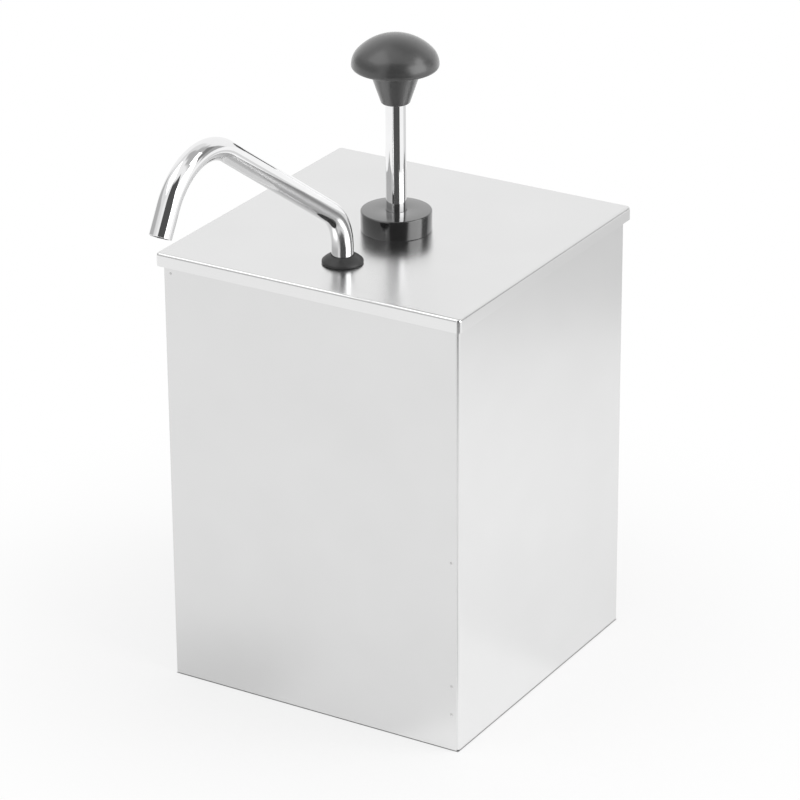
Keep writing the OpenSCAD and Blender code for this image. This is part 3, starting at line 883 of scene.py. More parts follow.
@dataclass
class Case:
    """The folded case, its welded front and its bottom tray.

    Attributes:
        finishes: The finishes to choose from.
        half: Half the case's width and depth.
        wall_top: Height at which the lips start to fold.
        sheet: Thickness of the sheet.
        bend: Outer radius of the folds.
        lip: Width of the lips.
        gap: Gap between two lips.
        flange: Width of the welding flanges.
        seam: How far the front panel stops short of the sides.
        tray_top: Height of the tray's edge.
        tray_corner: Radius of the tray's upright corners.
        tray_bend: Radius of its bottom edge.
        edge: Width of the rounding on the cut edges.
        weld_places: Place and height of each weld mark on the front.
        weld_width: Diameter of a mark.
        weld_height: Thickness of a mark.
        weld_proud: How far a mark's middle stands out of the sheet.
    """

    finishes: Finishes
    half: float = 97.0
    wall_top: float = 264.8
    sheet: float = 1.0
    bend: float = 2.0
    lip: float = 9.0
    gap: float = 0.3
    flange: float = 14.0
    seam: float = 1.0
    tray_top: float = 10.0
    tray_corner: float = 2.0
    tray_bend: float = 1.5
    edge: float = 0.15
    weld_places: tuple[Point, ...] = ((92.5, 119.0), (92.8, 40.7), (92.7, 22.7), (-91.7, 256.7))
    weld_width: float = 1.7
    weld_height: float = 0.1
    weld_proud: float = 0.03

    def lip_rows(self) -> list[Point]:
        """Inward reach and height of the points along a lip's fold."""
        turn = arc((self.bend, self.wall_top), self.bend, 180, 90, ROUNDING_STEPS)
        return turn[1:] + [(self.lip, self.wall_top + self.bend)]

    def fold(self, work: Work, edge: Sequence[bmesh.types.BMVert],
             inward: Point) -> None:
        """Folds a lip in from the top edge of a wall.

        Args:
            work: The wall's mesh.
            edge: The edge's points in order.
            inward: The level direction in which the lip points.
        """
        last = list(edge)
        for reach, z in self.lip_rows():
            row = [work.verts.new((v.co.x + inward[0] * reach, v.co.y + inward[1] * reach, z))
                   for v in edge]
            for i in range(len(row) - 1):
                work.faces.new((last[i], last[i + 1], row[i + 1], row[i]))
            last = row

    def wrap_mesh(self) -> Mesh:
        """Makes the left, back and right walls with their flanges and lips.

        Returns:
            Their outer face.
        """
        h, r, front = self.half, self.bend, -self.half + self.sheet
        stop = h - self.lip - self.gap
        path = [(-h + self.flange, front)]
        path += arc((-h + r, front + r), r, 270, 180, 8)
        path += [(-h, stop)] + arc((-h + r, h - r), r, 180, 90, 8)
        path += arc((h - r, h - r), r, 90, 0, 8) + [(h, stop)]
        path += arc((h - r, front + r), r, 0, -90, 8)
        path += [(h - self.flange, front)]

        def build(work: Work) -> None:
            """Fills the mesh with walls and lips.

            Args:
                work: The empty mesh.
            """
            low = [work.verts.new((x, y, 0)) for x, y in path]
            high = [work.verts.new((x, y, self.wall_top)) for x, y in path]
            for i in range(len(path) - 1):
                work.faces.new((low[i + 1], low[i], high[i], high[i + 1]))
            for inward, axis, wall in (((1, 0), 0, -h), ((-1, 0), 0, h), ((0, -1), 1, h)):
                edge = [v for v, p in zip(high, path)
                        if abs(p[axis] - wall) < NEAR and (axis == 1 or p[1] < stop + NEAR)]
                self.fold(work, edge[::-1], inward)

        return mesh_from("case_wrap_sheet", build)

    def panel_mesh(self) -> Mesh:
        """Makes the front sheet with its lip.

        Returns:
            Its outer face.
        """
        stop = self.half - self.lip - self.gap
        edge = self.half - self.seam

        def build(work: Work) -> None:
            """Fills the mesh with the sheet and its lip.

            Args:
                work: The empty mesh.
            """
            xs = (-edge, -stop, stop, edge)
            low = [work.verts.new((x, -self.half, 0)) for x in xs]
            high = [work.verts.new((x, -self.half, self.wall_top)) for x in xs]
            for i in range(len(xs) - 1):
                work.faces.new((low[i], low[i + 1], high[i + 1], high[i]))
            self.fold(work, [high[1], high[2]], (0, 1))

        return mesh_from("front_sheet", build)

    def tray_mesh(self) -> Mesh:
        """Makes the bottom sheet with its turned-up edge.

        Returns:
            Its outer face.
        """
        sizes = (self.half - self.sheet, self.half - 1.5 * self.sheet, self.tray_corner)
        rings = [square_ring(*sizes, self.tray_top)]
        rings += [square_ring(*sizes, z, inset) for inset, z in quarter(self.tray_bend, 6)]

        def build(work: Work) -> None:
            """Fills the mesh and moves it behind the front panel.

            Args:
                work: The empty mesh.
            """
            join_rings(work, rings, cap_last=True)
            bmesh.ops.translate(work, vec=(0, self.sheet / 2, 0), verts=work.verts)

        return mesh_from("tray_sheet", build)

    def build(self) -> None:
        """Builds and dresses the case."""
        f = self.finishes
        for name, mesh, finish, slot, node in (
                ("case_walls", self.wrap_mesh(), f.wrap, "case_steel", "case_wrap"),
                ("case_front", self.panel_mesh(), f.front, "front_steel", "front_panel"),
                ("case_tray", self.tray_mesh(), f.tray, "tray_steel", "base_tray")):
            thicken(place(name, mesh, finish, "case", slot, node), self.sheet, self.edge)
        face = -self.half - self.weld_proud
        points = line_mesh("weld_points", [(x, face, z) for x, z in self.weld_places],
                           joined=False)
        marks = mark_tree().run("weld_marks", points, {
            "Mark diameter": self.weld_width * MM, "Mark height": self.weld_height * MM,
            "Sides round": 20, "Finish": f.weld})
        place("weld_marks", marks, f.weld, "case", "front_steel")


@dataclass
class Container:
    """The pressed tub that hangs on the case's lip.

    Attributes:
        finishes: The finishes to choose from.
        rim: Half the width of its flat rim.
        rim_corner: Radius of the rim's corners.
        wall: Half the width inside its walls.
        top: Height of the rim's face.
        floor: Height of the floor inside.
        corner: Radius inside its upright corners.
        foot: Radius inside its bottom edge.
        mouth: Radius where the rim turns down into the wall.
        sheet: Thickness of the sheet.
        edge: Width of the rounding on the cut edge.
    """

    finishes: Finishes
    rim: float = 95.5
    rim_corner: float = 3.5
    wall: float = 85.5
    top: float = LID_LOW
    floor: float = 13.0
    corner: float = 21.0
    foot: float = 7.0
    mouth: float = 1.6
    sheet: float = 1.0
    edge: float = 0.2

    def mesh(self) -> Mesh:
        """Makes the sheet's upper and inner face, from the rim to the floor.

        Returns:
            The face, which points up and in.
        """
        sizes, steps = (self.wall, self.wall, self.corner), 10
        rings = [square_ring(self.rim, self.rim, self.rim_corner, self.top, steps=steps)]
        rings += [square_ring(*sizes, self.top - drop, -out, steps)
                  for drop, out in quarter(self.mouth, 6)]
        rings += [square_ring(*sizes, self.floor + rise, inset, steps)
                  for inset, rise in quarter(self.foot, 8)]

        def build(work: Work) -> None:
            """Fills the mesh.

            Args:
                work: The empty mesh.
            """
            join_rings(work, rings, cap_last=True)
            for face in work.faces:
                face.normal_flip()

        return mesh_from("tub_sheet", build, outward=False)

    def build(self) -> None:
        """Builds and dresses the container."""
        tub = place("tub", self.mesh(), self.finishes.tub, "container", "container_steel",
                    "container")
        thicken(tub, self.sheet, self.edge)


@dataclass
class Lid:
    """The lid sheet with its turned-down rim and its two holes.

    Attributes:
        finishes: The finishes to choose from.
        half: Half its width.
        top: Height of its face.
        rim: Height of the rim.
        fold: Outer radius between face and rim.
        corner: Outer radius of its upright corners.
        sheet: Thickness of the sheet.
        pump_hole: Radius of the pump's hole.
        spout_hole: Radius of the grommet's hole.
        spout_y: Where the spout's hole is.
        edge: Width of the rounding on the cut edges.
    """

    finishes: Finishes
    half: float = 100.0
    top: float = LID_TOP
    rim: float = 8.0
    fold: float = 1.8
    corner: float = 2.6
    sheet: float = 1.2
    pump_hole: float = 16.3
    spout_hole: float = SPOUT_HOLE
    spout_y: float = SPOUT_Y
    edge: float = 0.12

    def mesh(self) -> Mesh:
        """Makes the lid's outer face.

        Returns:
            The face with its two holes.
        """
        sizes = (self.half, self.half, self.corner)
        rings = [square_ring(*sizes, self.top - self.rim)]
        rings += [square_ring(*sizes, self.top - drop, inset)
                  for inset, drop in quarter(self.fold, 6)]
        pump = round_ring(self.pump_hole, self.top, 64)
        spout = [p + Vector((0, self.spout_y, 0))
                 for p in round_ring(self.spout_hole, self.top, 48)]

        def build(work: Work) -> None:
            """Fills the mesh.

            Args:
                work: The empty mesh.
            """
            join_rings(work, rings)
            loops = [rings[-1], pump[::-1], spout[::-1]]
            flat = [p for loop in loops for p in loop]
            verts = [work.verts.new(p) for p in flat]
            for a, b, c in tessellate_polygon(loops):
                if (flat[b] - flat[a]).cross(flat[c] - flat[a]).z < 0:
                    b, c = c, b
                work.faces.new((verts[a], verts[b], verts[c]))

        return mesh_from("lid_sheet", build, outward=False)

    def build(self) -> None:
        """Builds and dresses the lid."""
        plate = place("lid_plate", self.mesh(), self.finishes.lid, "lid", "lid_steel", "lid")
        thicken(plate, self.sheet, self.edge)


@dataclass
class Mounting:
    """What holds the pump and the spout in the lid: cap, seals, barrel and foot valve.

    Attributes:
        finishes: The finishes to choose from.
        lid_top: Height of the lid's face.
        cap_top: Height of the cap's face.
        cap_face: Thickness of the cap's face.
        cap_radius: Radius of the cap.
        neck_radius: Radius of the cap's thread.
        rod_hole: Radius of the rod's hole.
        lid_low: Height of the lid's underside.
        spout_y: Where the spout stands.
        tube_hole: Radius of the grommet's bore.
        grommet_radius: Radius of the grommet.
        grommet_rise: Height of its dome, measured as if it had no hole.
        grommet_rim: Height of its upright rim.
        waist_radius: Radius of the grommet in the lid's hole.
        foot_radius: Radius of its foot under the lid.
        foot_depth: Depth of its foot.
        bore_round: How far the dome stops short of the bore, and above it.
        nut_flats: Half the width over a nut's flats.
        nut_face: Radius of its turned end faces, as a share of that.
        nut_height: Height of a nut.
        nut_wall: Thickness of a nut's upper wall.
        nut_thread: Radius of a nut's thread.
        nut_bores: Radius of the upper hole in the upper and the lower nut.
        nut_lows: Height of the underside of the upper and the lower nut.
    """

    finishes: Finishes
    lid_top: float = LID_TOP
    cap_top: float = 281.0
    cap_face: float = 3.0
    cap_radius: float = 20.75
    neck_radius: float = 16.1
    rod_hole: float = 6.06
    lid_low: float = LID_LOW
    spout_y: float = SPOUT_Y
    tube_hole: float = 6.45
    grommet_radius: float = 11.9
    grommet_rise: float = 6.4
    grommet_rim: float = 1.4
    waist_radius: float = SPOUT_HOLE
    foot_radius: float = 10.35
    foot_depth: float = 2.5
    bore_round: float = 0.3
    nut_flats: float = 13.0
    nut_face: float = 0.95
    nut_height: float = 15.0
    nut_wall: float = 3.0
    nut_thread: float = 10.1
    nut_bores: tuple[float, float] = (6.65, 6.45)
    nut_lows: tuple[float, float] = (233.4, 58.914)

    def cap_mesh(self) -> Mesh:
        """Makes the cap, a low round nut with softened edges.

        Returns:
            The closed mesh.
        """
        inside = self.cap_top - self.cap_face
        return turned("cap_shape", rounded([
            (self.rod_hole, self.cap_top, 0.4), (self.cap_radius, self.cap_top, 0.8),
            (self.cap_radius, self.lid_top, 0.5), (self.neck_radius, self.lid_top, 0.2),
            (self.neck_radius, inside, 0.3), (self.rod_hole, inside, 0.2)]), sides=128)

    def grommet_mesh(self) -> Mesh:
        """Makes the grommet: a dome with a round rim, a waist and a foot below the lid.

        Returns:
            The closed mesh.
        """
        edge, rise = self.grommet_radius, self.grommet_rise - self.grommet_rim
        waist, foot, low = self.waist_radius, self.foot_radius, self.lid_low - self.foot_depth
        ball = (edge * edge + rise * rise) / (2 * rise)
        middle = (0.0, self.lid_top + self.grommet_rise - ball)
        start = math.degrees(math.acos((edge - 0.7) / ball))
        end = math.degrees(math.acos((self.tube_hole + self.bore_round) / ball))
        dome = arc(middle, ball, start, end, 14)
        side = rounded([(edge - 1.2, self.lid_top, 0), (edge, self.lid_top, 0.6),
                        (edge, self.lid_top + self.grommet_rim, 0.9), dome[0] + (0,)],
                       closed=False)
        bore = [(self.tube_hole, dome[-1][1] - self.bore_round), (self.tube_hole, low)]
        collar = rounded([(waist, low, 0), (foot, low, 0.4), (foot, self.lid_low, 0.2),
                          (waist, self.lid_low, 0)], closed=False)
        return turned("grommet_shape",
                      side[:-1] + dome + bore + collar + [(waist, self.lid_top)],
                      at=(0.0, self.spout_y), sharp=50)

    def nut_mesh(self, name: str, low: float, bore: float) -> Mesh:
        """Makes a six-sided nut with turned corners.

        Args:
            name: Name of the mesh.
            low: Height of its underside.
            bore: Radius of its upper hole.

        Returns:
            The closed mesh.
        """
        count = 96
        high = low + self.nut_height
        shelf = high - self.nut_wall
        face = self.nut_flats * self.nut_face
        reach = [self.nut_flats / math.cos(math.radians((360 * i / count + 30) % 60 - 30))
                 for i in range(count)]
        drop = [0.5 * (r - face) for r in reach]

        def loop(sizes: Sequence[float], heights: Sequence[float]) -> Ring:
            """Makes one ring with its own radius and height at each turn.

            Args:
                sizes: The radii.
                heights: The heights.

            Returns:
                The ring.
            """
            turns = [2 * math.pi * i / count for i in range(count)]
            return [Vector((r * math.cos(t), r * math.sin(t) + self.spout_y, z))
                    for r, z, t in zip(sizes, heights, turns)]

        rings = [loop([r] * count, [z] * count) for r, z in (
            (self.nut_thread, low), (face, low), (face, high), (bore, high), (bore, shelf),
            (self.nut_thread, shelf))]
        rings[2:2] = [loop(reach, [low + d for d in drop]), loop(reach, [high - d for d in drop])]
        return mesh_from(name, lambda work: join_rings(work, rings, closed=True), sharp=25)

    def build(self) -> None:
        """Builds and dresses everything that hangs in the lid."""
        f = self.finishes
        place("cap", self.cap_mesh(), f.cap, "lid", "cap_plastic", "cap_nut")
        place("grommet", self.grommet_mesh(), f.grommet, "lid", "grommet_rubber",
              "spout_grommet")
        for name, node, low, bore in zip(("upper_nut", "lower_nut"), ("union_nut", "riser_nut"),
                                         self.nut_lows, self.nut_bores):
            nut = self.nut_mesh(name + "_shape", low, bore)
            place(name, nut, f.fitting, "lid", "fitting_steel", node)
        for finish, nodes in (
                (f.pale, ("rod_bush", "valve_block")),
                (f.seal, ("rod_wiper", "neck_gasket", "riser_seal", "spout_seal")),
                (f.barrel, ("barrel",)), (f.fitting, ("union_body",)),
                (f.small, ("ball_cage", "outlet_pin")), (f.spout, ("riser_tube",)),
                (f.ball, ("inlet_ball", "outlet_ball"))):
            dress(finish, *nodes)


@dataclass
class Plunger:
    """The knob, the rod, the piston and the return spring.

    Attributes:
        finishes: The finishes to choose from.
        knob_low: Height of the knob's underside.
        rim_z: Height of the knob's widest part.
        knob_radius: Radius of the knob.
        dome: Height of the dome.
        crown: Radius of the dome's crown.
        rim_round: Radius of the rounding under the rim.
        neck_low: Radius of the neck at its lower end.
        neck_high: Radius of the neck under the rim.
        rod_radius: Radius of the rod.
        rod_low: Height of the rod's lower shoulder.
        stud_radius: Radius of the studs at the rod's ends.
        stud_reach: How far the upper stud reaches into the knob.
        stud_low: Height of the lower stud's end.
        coil_radius: Radius of the spring to the wire's middle.
        coil_low: Height of the spring wire's lower end.
        coil_high: Height of the spring wire's upper end.
        wire: Diameter of the spring's wire.
        coil_turns: Number of turns.
        coil_gap: Gap between the close end turns.
        stroke: How far the knob goes down; not used.
    """

    finishes: Finishes
    knob_low: float = 346.0
    rim_z: float = 369.0
    knob_radius: float = 25.1
    dome: float = 17.5
    crown: float = 30.0
    rim_round: float = 2.5
    neck_low: float = 8.2
    neck_high: float = 15.2
    rod_radius: float = 6.0
    rod_low: float = 137.1
    stud_radius: float = 4.0
    stud_reach: float = 14.0
    stud_low: float = 113.1
    coil_radius: float = 11.1
    coil_low: float = 44.3
    coil_high: float = 121.9
    wire: float = 1.8
    coil_turns: float = 11.0
    coil_gap: float = 0.7
    stroke: float = 55.0

    def knob_mesh(self) -> Mesh:
        """Makes the knob: a crown, a rounder shoulder, a rim and a tapered neck.

        Returns:
            The closed mesh.
        """
        r, drop, low = self.knob_radius, self.crown - self.dome, self.rim_z - self.rim_round
        shoulder = (self.crown ** 2 - r ** 2 - drop ** 2) / (2 * (self.crown - r))
        out, rim = r - shoulder, r - self.rim_round
        split = math.degrees(math.atan2(drop, out))
        crown = arc((0.0, self.rim_z - drop), self.crown, 90, split, 22)
        side = arc((out, self.rim_z), shoulder, split, 0, 22)
        under = arc((rim, self.rim_z), self.rim_round, 0, -90, 10)
        neck = rounded([(rim, low, 0), (self.neck_high, low, 1.2),
                        (self.neck_low, self.knob_low, 1.2),
                        (self.rod_radius, self.knob_low, 0)], closed=False)
        hollow = self.knob_low + self.stud_reach + 1.0
        points = crown + side[1:] + under[1:] + neck[1:]
        points += [(self.rod_radius, hollow), (0.0, hollow)]
        points[0] = (0.0, points[0][1])
        return turned("knob_shape", points, sides=128, sharp=50)

    def rod_mesh(self) -> Mesh:
        """Makes the rod with its two studs.

        Returns:
            The closed mesh.
        """
        top = self.knob_low + self.stud_reach
        stud, rod = self.stud_radius, self.rod_radius
        return turned("rod_shape", [
            (0.0, top), (stud, top), (stud, self.knob_low), (rod, self.knob_low),
            (rod, self.rod_low), (stud, self.rod_low), (stud, self.stud_low),
            (0.0, self.stud_low)])

    def spring_mesh(self) -> Mesh:
        """Makes the return spring's wire.

        Returns:
            The closed mesh.
        """
        end = self.wire + self.coil_gap
        middle = (self.coil_high - self.coil_low - 2 * end) / (self.coil_turns - 2)
        base = line_mesh("coil_start", [(0, 0, 0)], joined=False)
        return coil_tree().run("coil_shape", base, {
            "Turns": self.coil_turns, "Coil radius": self.coil_radius * MM,
            "Start height": self.coil_low * MM, "End pitch": end * MM,
            "Middle pitch": middle * MM, "Wire radius": self.wire / 2 * MM,
            "Sides round": 12, "Steps in a turn": 32, "Finish": self.finishes.spring})

    def build(self) -> None:
        """Builds and dresses everything that moves with the knob."""
        f = self.finishes
        place("knob_dome", self.knob_mesh(), f.knob, "plunger", "knob_plastic", "knob")
        place("pump_rod", self.rod_mesh(), f.rod, "plunger", "rod_steel", "rod")
        spring = place("spring", self.spring_mesh(), f.spring, "plunger", "spring_steel",
                       "return_spring")
        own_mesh(spring)
        dress(f.brass, "knob_insert")
        dress(f.small, "stop_collar", "piston_washer", "piston_nut")
        dress(f.pale, "piston_head")
        dress(f.seal, "piston_ring")


@dataclass
class Spout:
    """The bent tube and its collar.

    Attributes:
        finishes: The finishes to choose from.
        foot_y: Where the tube stands.
        foot_z: Height of its lower end.
        rise_z: Height at which its lower bend starts.
        outer: Outer diameter.
        wall: Wall thickness.
        low_bend: Radius of the lower bend.
        slope: Slope of the arm.
        arm: Straight length of the arm.
        high_bend: Radius of the upper bend.
        dip: Slope of the tip below the horizontal.
        tip: Straight length of the tip.
        edge: Width of the rounding on the ends' edges.
    """

    finishes: Finishes
    foot_y: float = SPOUT_Y
    foot_z: float = 227.8
    rise_z: float = 278.5
    outer: float = 12.7
    wall: float = 1.0
    low_bend: float = 31.0
    slope: float = 34.0
    arm: float = 121.5
    high_bend: float = 40.0
    dip: float = 60.0
    tip: float = 16.0
    edge: float = 0.25

    def corners(self) -> list[tuple[float, float, float]]:
        """Finds the points between which the tube's middle line would run without its bends.

        Returns:
            The four points, from the foot up.
        """
        slope, dip = math.radians(self.slope), math.radians(self.dip)
        low = self.low_bend * math.tan((math.pi / 2 - slope) / 2)
        high = self.high_bend * math.tan((slope + dip) / 2)
        knee = Vector((0.0, self.foot_y, self.rise_z + low))
        crown = knee + Vector((0, -math.cos(slope), math.sin(slope))) * (low + self.arm + high)
        end = crown + Vector((0, -math.cos(dip), -math.sin(dip))) * (high + self.tip)
        return [(0.0, self.foot_y, self.foot_z), tuple(knee), tuple(crown), tuple(end)]

    def tube_mesh(self) -> Mesh:
        """Makes the tube, with its two ends closed between outer and inner skin.

        Returns:
            The closed mesh.
        """
        tube = tube_tree().run("tube_skins", line_mesh("tube_path", self.corners()), {
            "Outer diameter": self.outer * MM, "Wall": self.wall * MM,
            "Low bend radius": self.low_bend * MM, "High bend radius": self.high_bend * MM,
            "Sides round": 64, "Steps in a bend": 40, "Finish": self.finishes.spout})
        work = bmesh.new()
        work.from_mesh(tube)
        rims = [e for e in work.edges if e.is_boundary]
        for at_foot in (True, False):
            ring = [e for e in rims if (e.verts[0].co.z < self.rise_z * MM) == at_foot]
            bmesh.ops.bridge_loops(work, edges=ring)
        bmesh.ops.recalc_face_normals(work, faces=work.faces)
        work.to_mesh(tube)
        work.free()
        return finish_mesh(tube)

    def build(self) -> None:
        """Builds and dresses the spout."""
        tube = place("tube", self.tube_mesh(), self.finishes.spout, "spout", "tube_steel",
                     "spout_tube")
        soften(tube, self.edge, segments=3, angle=60)
        dress(self.finishes.fitting, "spout_collar")


# Studio


@dataclass(frozen=True)
class Patch:
    """A soft-edged patch of the room as mirrored in the object.

    Attributes:
        azimuth: Its middle, in degrees round the object from -Y towards +X.
        half_azimuth: Half its width in degrees.
        level: Its middle on the other scale: degrees over the horizon, or metres from the axis.
        half_level: Half its extent on that scale.
        soft: Width of its soft edge in degrees of azimuth.
        soft_level: Width of its soft edge on the other scale.
        value: Its brightness, where 1 is white.
    """

    azimuth: float
    half_azimuth: float
    level: float
    half_level: float
    soft: float
    soft_level: float
    value: float


class RoomNodes(NodeBench):
    """The nodes of the floor's or the room's shader."""

    def patches(self, spot: Socket, level: Socket, items: Sequence[Patch]) -> Socket:
        """Lays patches of brightness over an even base.

        Args:
            spot: A direction, or a place on the floor.
            level: The other scale that the patches are given on.
            items: The patches; the first gives the base.

        Returns:
            The socket of the brightness.
        """
        parts = self.add("ShaderNodeSeparateXYZ", _0=spot)
        front = self.math("MULTIPLY", parts.outputs[1], -1.0)
        azimuth = self.math("DEGREES", self.math("ARCTAN2", parts.outputs[0], front))
        result: object = items[0].value
        for item in items[1:]:
            turn = self.math("WRAP", self.math("SUBTRACT", azimuth, item.azimuth), 180.0, -180.0)
            side = self.ramp(self.math("ABSOLUTE", turn), item.half_azimuth,
                             item.half_azimuth + item.soft, 1.0, 0.0)
            gap = self.math("ABSOLUTE", self.math("SUBTRACT", level, item.level))
            rise = self.ramp(gap, item.half_level, item.half_level + item.soft_level, 1.0, 0.0)
            mix = self.add("ShaderNodeMix", {"data_type": "FLOAT"},
                           _0=self.math("MULTIPLY", side, rise), _2=result, _3=item.value)
            result = mix.outputs[0]
        return result

    def white_or(self, mirrored: Socket) -> Socket:
        """Shows white to the camera and another value to what mirrors it.

        Args:
            mirrored: The value that metal mirrors.

        Returns:
            The socket of the brightness.
        """
        seen = self.add("ShaderNodeLightPath").outputs["Is Camera Ray"]
        return self.add("ShaderNodeMix", {"data_type": "FLOAT"}, _0=seen, _2=mirrored,
                        _3=1.0).outputs[0]

    def not_lighting(self) -> Socket:
        """1 for camera and mirrored rays, 0 for light that falls on the object."""
        path = self.add("ShaderNodeLightPath")
        return self.math("MAXIMUM", path.outputs["Is Camera Ray"], path.outputs["Is Glossy Ray"])


def outward(azimuth: float, elevation: float) -> Vector:
    """The direction from the object at an azimuth from -Y and an elevation, in degrees."""
    a, e = math.radians(azimuth), math.radians(elevation)
    return Vector((math.sin(a) * math.cos(e), -math.cos(a) * math.cos(e), math.sin(e)))


@dataclass
class Studio:
    """Camera, floor, backdrop light and lamps.

    Attributes:
        camera_at: Where the camera stands, in metres.
        azimuth: Its turn round the object in degrees.
        elevation: Its height over the horizon in degrees.
        roll: Its tilt in degrees.
        lens: Its focal length in millimetres on a 36 mm wide sensor.
        ambient: Brightness of the even light from all round.
        floor_half: Half the floor's width, in metres.
        floor_z: Its height, in metres.
        near: Distance from the axis within which the floor glows least, in metres.
        far: Distance past which it glows fully, in metres.
        glow: How much it glows within the near distance.
        contact: Where the painted shade under the case ends and where the open floor starts,
            measured from the axis along X or Y, in metres.
        contact_side: How much further out the painted shade runs at the sides, in metres.
        paper_and_painted_shade: The floor's grey under the case, a painted contact shadow, and its
            own grey in the open.
        aim: Height at which the lamps are aimed, in metres.
        wall_patches: The room as mirrored in the metal.
        floor_patches: The floor as mirrored in the metal: glowing patches of painted light and
        shade, with a painted shadow at the front left.
    """

    camera_at: tuple[float, float, float] = (1.0863, -1.8031, 1.0973)
    azimuth: float = 31.03
    elevation: float = 23.975
    roll: float = -0.392
    lens: float = 176.76
    ambient: float = 0.84
    floor_half: float = 12.0
    floor_z: float = -0.0008
    near: float = 0.10
    far: float = 0.38
    glow: float = 0.68
    contact: tuple[float, float] = (0.0962, 0.0968)
    contact_side: float = 0.0004
    paper_and_painted_shade: tuple[float, float] = (0.4, 0.95)
    aim: float = 0.25
    wall_patches: tuple[Patch, ...] = (
        Patch(0, 180, 0, 90, 1, 1, 1.0),
        Patch(-90, 60, 20, 30, 25, 15, 0.85),
        Patch(-62, 40, 10, 12, 10, 7, 0.50),
        Patch(165, 50, 56, 18, 20, 10, 0.50),
        Patch(225, 50, 52, 5, 15, 6, 0.82),
        Patch(207, 40, 22, 16, 14, 12, 1.02),
        Patch(141, 8, 4, 9, 4, 4, 0.42),
        Patch(135, 12, 24, 7, 5, 6, 0.24),
        Patch(41, 31, 10, 50, 5, 8, 0.09),
    )
    floor_patches: tuple[Patch, ...] = (
        Patch(0, 180, 0, 9, 1, 1, 1.07),
        Patch(95, 33, 0.30, 0.30, 18, 0.10, 1.12),
        # Painted shadow on the floor at the front left, seen only in the metal's reflections.
        Patch(-55, 25, 0.06, 0.07, 25, 0.10, 0.90),
        Patch(66, 30, 0.10, 0.08, 12, 0.08, 1.25),
        Patch(152, 22, 0.86, 0.20, 10, 0.10, 0.78),
        Patch(41, 31, 3.0, 2.28, 6, 0.04, 0.09),
        Patch(29, 9, 0.29, 0.07, 9, 0.03, 0.66),
    )

    def camera(self) -> None:
        """Puts the camera at the photograph's view."""
        a, t = math.radians(self.azimuth), math.radians(self.roll)
        back = outward(self.azimuth, self.elevation)
        right = Vector((math.cos(a), math.sin(a), 0.0))
        up = back.cross(right)
        side = right * math.cos(t) + up * math.sin(t)
        top = up * math.cos(t) - right * math.sin(t)
        data = bpy.data.cameras.new("camera")
        data.lens = self.lens
        data.sensor_width = 36.0
        data.clip_end = 50.0
        eye = bpy.data.objects.new("camera", data)
        bpy.context.scene.collection.objects.link(eye)
        turn = Matrix((side, top, back)).transposed().to_4x4()
        eye.matrix_world = Matrix.Translation(self.camera_at) @ turn
        bpy.context.scene.camera = eye

    def floor(self) -> None:
        """A pale floor that keeps the shadow near the object and is white further off."""
        mesh = bpy.data.meshes.new("floor")
        w, z = self.floor_half, self.floor_z
        mesh.from_pydata([(-w, -w, z), (w, -w, z), (w, w, z), (-w, w, z)], [], [(0, 1, 2, 3)])
        plane = bpy.data.objects.new("floor", mesh)
        bpy.context.scene.collection.objects.link(plane)
        material = bpy.data.materials.new("floor_paper")
        material.use_nodes = True
        room = RoomNodes(material.node_tree)
        spot = room.add("ShaderNodeTexCoord").outputs["Object"]
        radius = room.add("ShaderNodeVectorMath", {"operation": "LENGTH"},
                          _0=spot).outputs["Value"]
        mirrored = room.patches(spot, radius, self.floor_patches)
        glow = room.add("ShaderNodeEmission", Color=room.white_or(mirrored))
        shown = room.ramp(radius, self.near, self.far, self.glow, 1.0)
        # Painted shade: under the case's footprint the floor's colour is darker and its glow is
        # off, a painted contact shadow line along the case's bottom edges.
        across, along, _ = room.add("ShaderNodeSeparateXYZ", _0=spot).outputs
        beside = room.math("SUBTRACT", room.math("ABSOLUTE", across), self.contact_side)
        under = room.math("MAXIMUM", beside, room.math("ABSOLUTE", along))
        open_floor = room.ramp(under, *self.contact, 0.0, 1.0)
        paper_and_painted_shade = room.add("ShaderNodeBsdfDiffuse", Color=room.ramp(open_floor, 0, 1, *self.paper_and_painted_shade))
        part = room.math("MULTIPLY", room.not_lighting(), room.math("MULTIPLY", shown, open_floor))
        mix = room.add("ShaderNodeMixShader", _0=part, _1=paper_and_painted_shade.outputs[0], _2=glow.outputs[0])
        room.add("ShaderNodeOutputMaterial", Surface=mix.outputs[0])
        mesh.materials.append(material)

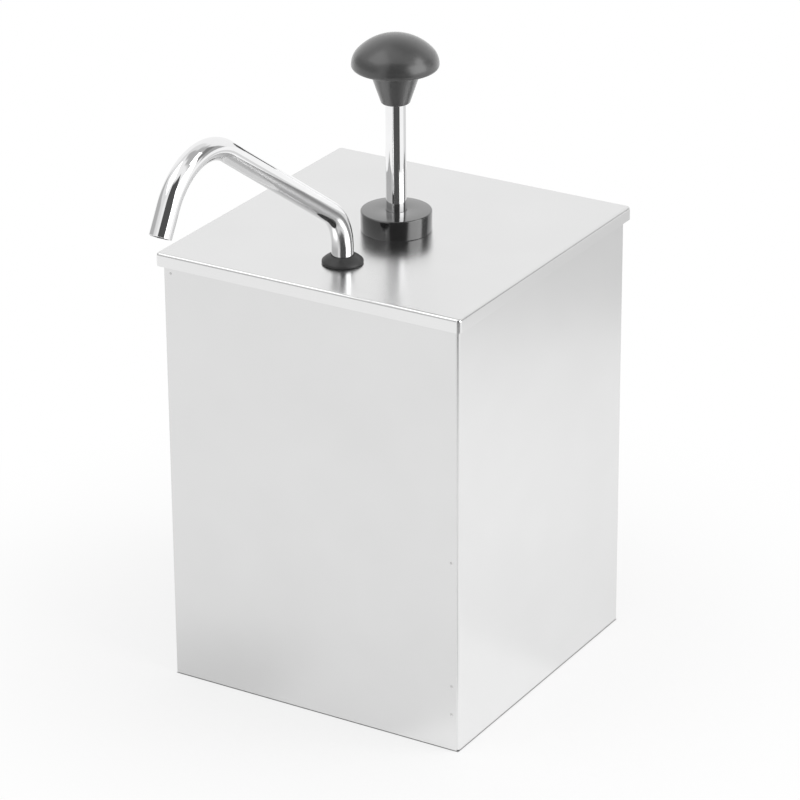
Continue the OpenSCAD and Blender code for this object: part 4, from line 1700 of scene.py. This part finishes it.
    def surroundings(self) -> None:
        """An even pale room, white behind the object and patchy where metal mirrors it."""
        world = bpy.data.worlds.new("studio")
        bpy.context.scene.world = world
        world.use_nodes = True
        room = RoomNodes(world.node_tree)
        ray = room.add("ShaderNodeTexCoord").outputs["Generated"]
        height = room.add("ShaderNodeSeparateXYZ", _0=ray).outputs[2]
        level = room.math("DEGREES", room.math("ARCSINE", height))
        even = room.add("ShaderNodeBackground", Strength=self.ambient)
        mirrored = room.patches(ray, level, self.wall_patches)
        shown = room.add("ShaderNodeBackground", Color=room.white_or(mirrored))
        mix = room.add("ShaderNodeMixShader", _0=room.not_lighting(), _1=even.outputs[0],
                       _2=shown.outputs[0])
        room.add("ShaderNodeOutputWorld", Surface=mix.outputs[0])

    def lamp(self, name: str, azimuth: float, elevation: float, distance: float,
             size: Point, power: float) -> None:
        """Adds a soft rectangular lamp that faces the object.

        Args:
            name: Name of the lamp.
            azimuth: Its turn round the object in degrees.
            elevation: Its height over the horizon in degrees.
            distance: How far off it stands in metres.
            size: Its width and height in metres.
            power: Its power in watts.
        """
        back = outward(azimuth, elevation)
        data = bpy.data.lights.new(name, "AREA")
        data.shape = "RECTANGLE"
        data.size, data.size_y = size
        data.energy = power
        lamp = bpy.data.objects.new(name, data)
        bpy.context.scene.collection.objects.link(lamp)
        lamp.location = Vector((0, 0, self.aim)) + back * distance
        lamp.rotation_euler = back.to_track_quat("Z", "Y").to_euler()

    def build(self) -> None:
        """Sets up the whole studio."""
        self.camera()
        self.floor()
        self.surroundings()
        self.lamp("right_box", azimuth=93, elevation=19, distance=2.0, size=(1.75, 1.6), power=17)
        self.lamp("top_box", azimuth=-50, elevation=60, distance=2.2, size=(1.4, 1.2), power=6)
        self.lamp("high_box", azimuth=118, elevation=46, distance=2.0, size=(0.7, 0.6), power=3.5)
        bpy.context.scene.view_settings.view_transform = "Standard"


def main() -> None:
    """Builds the dispenser and its studio."""
    logging.basicConfig(level=logging.INFO, format="%(name)s: %(message)s")
    finishes = Finishes()
    for part in (Case(finishes), Container(finishes), Lid(finishes), Mounting(finishes),
                 Plunger(finishes), Spout(finishes)):
        part.build()
        LOG.info("%s built", type(part).__name__)
    Studio().build()


if __name__ == "__main__":
    main()
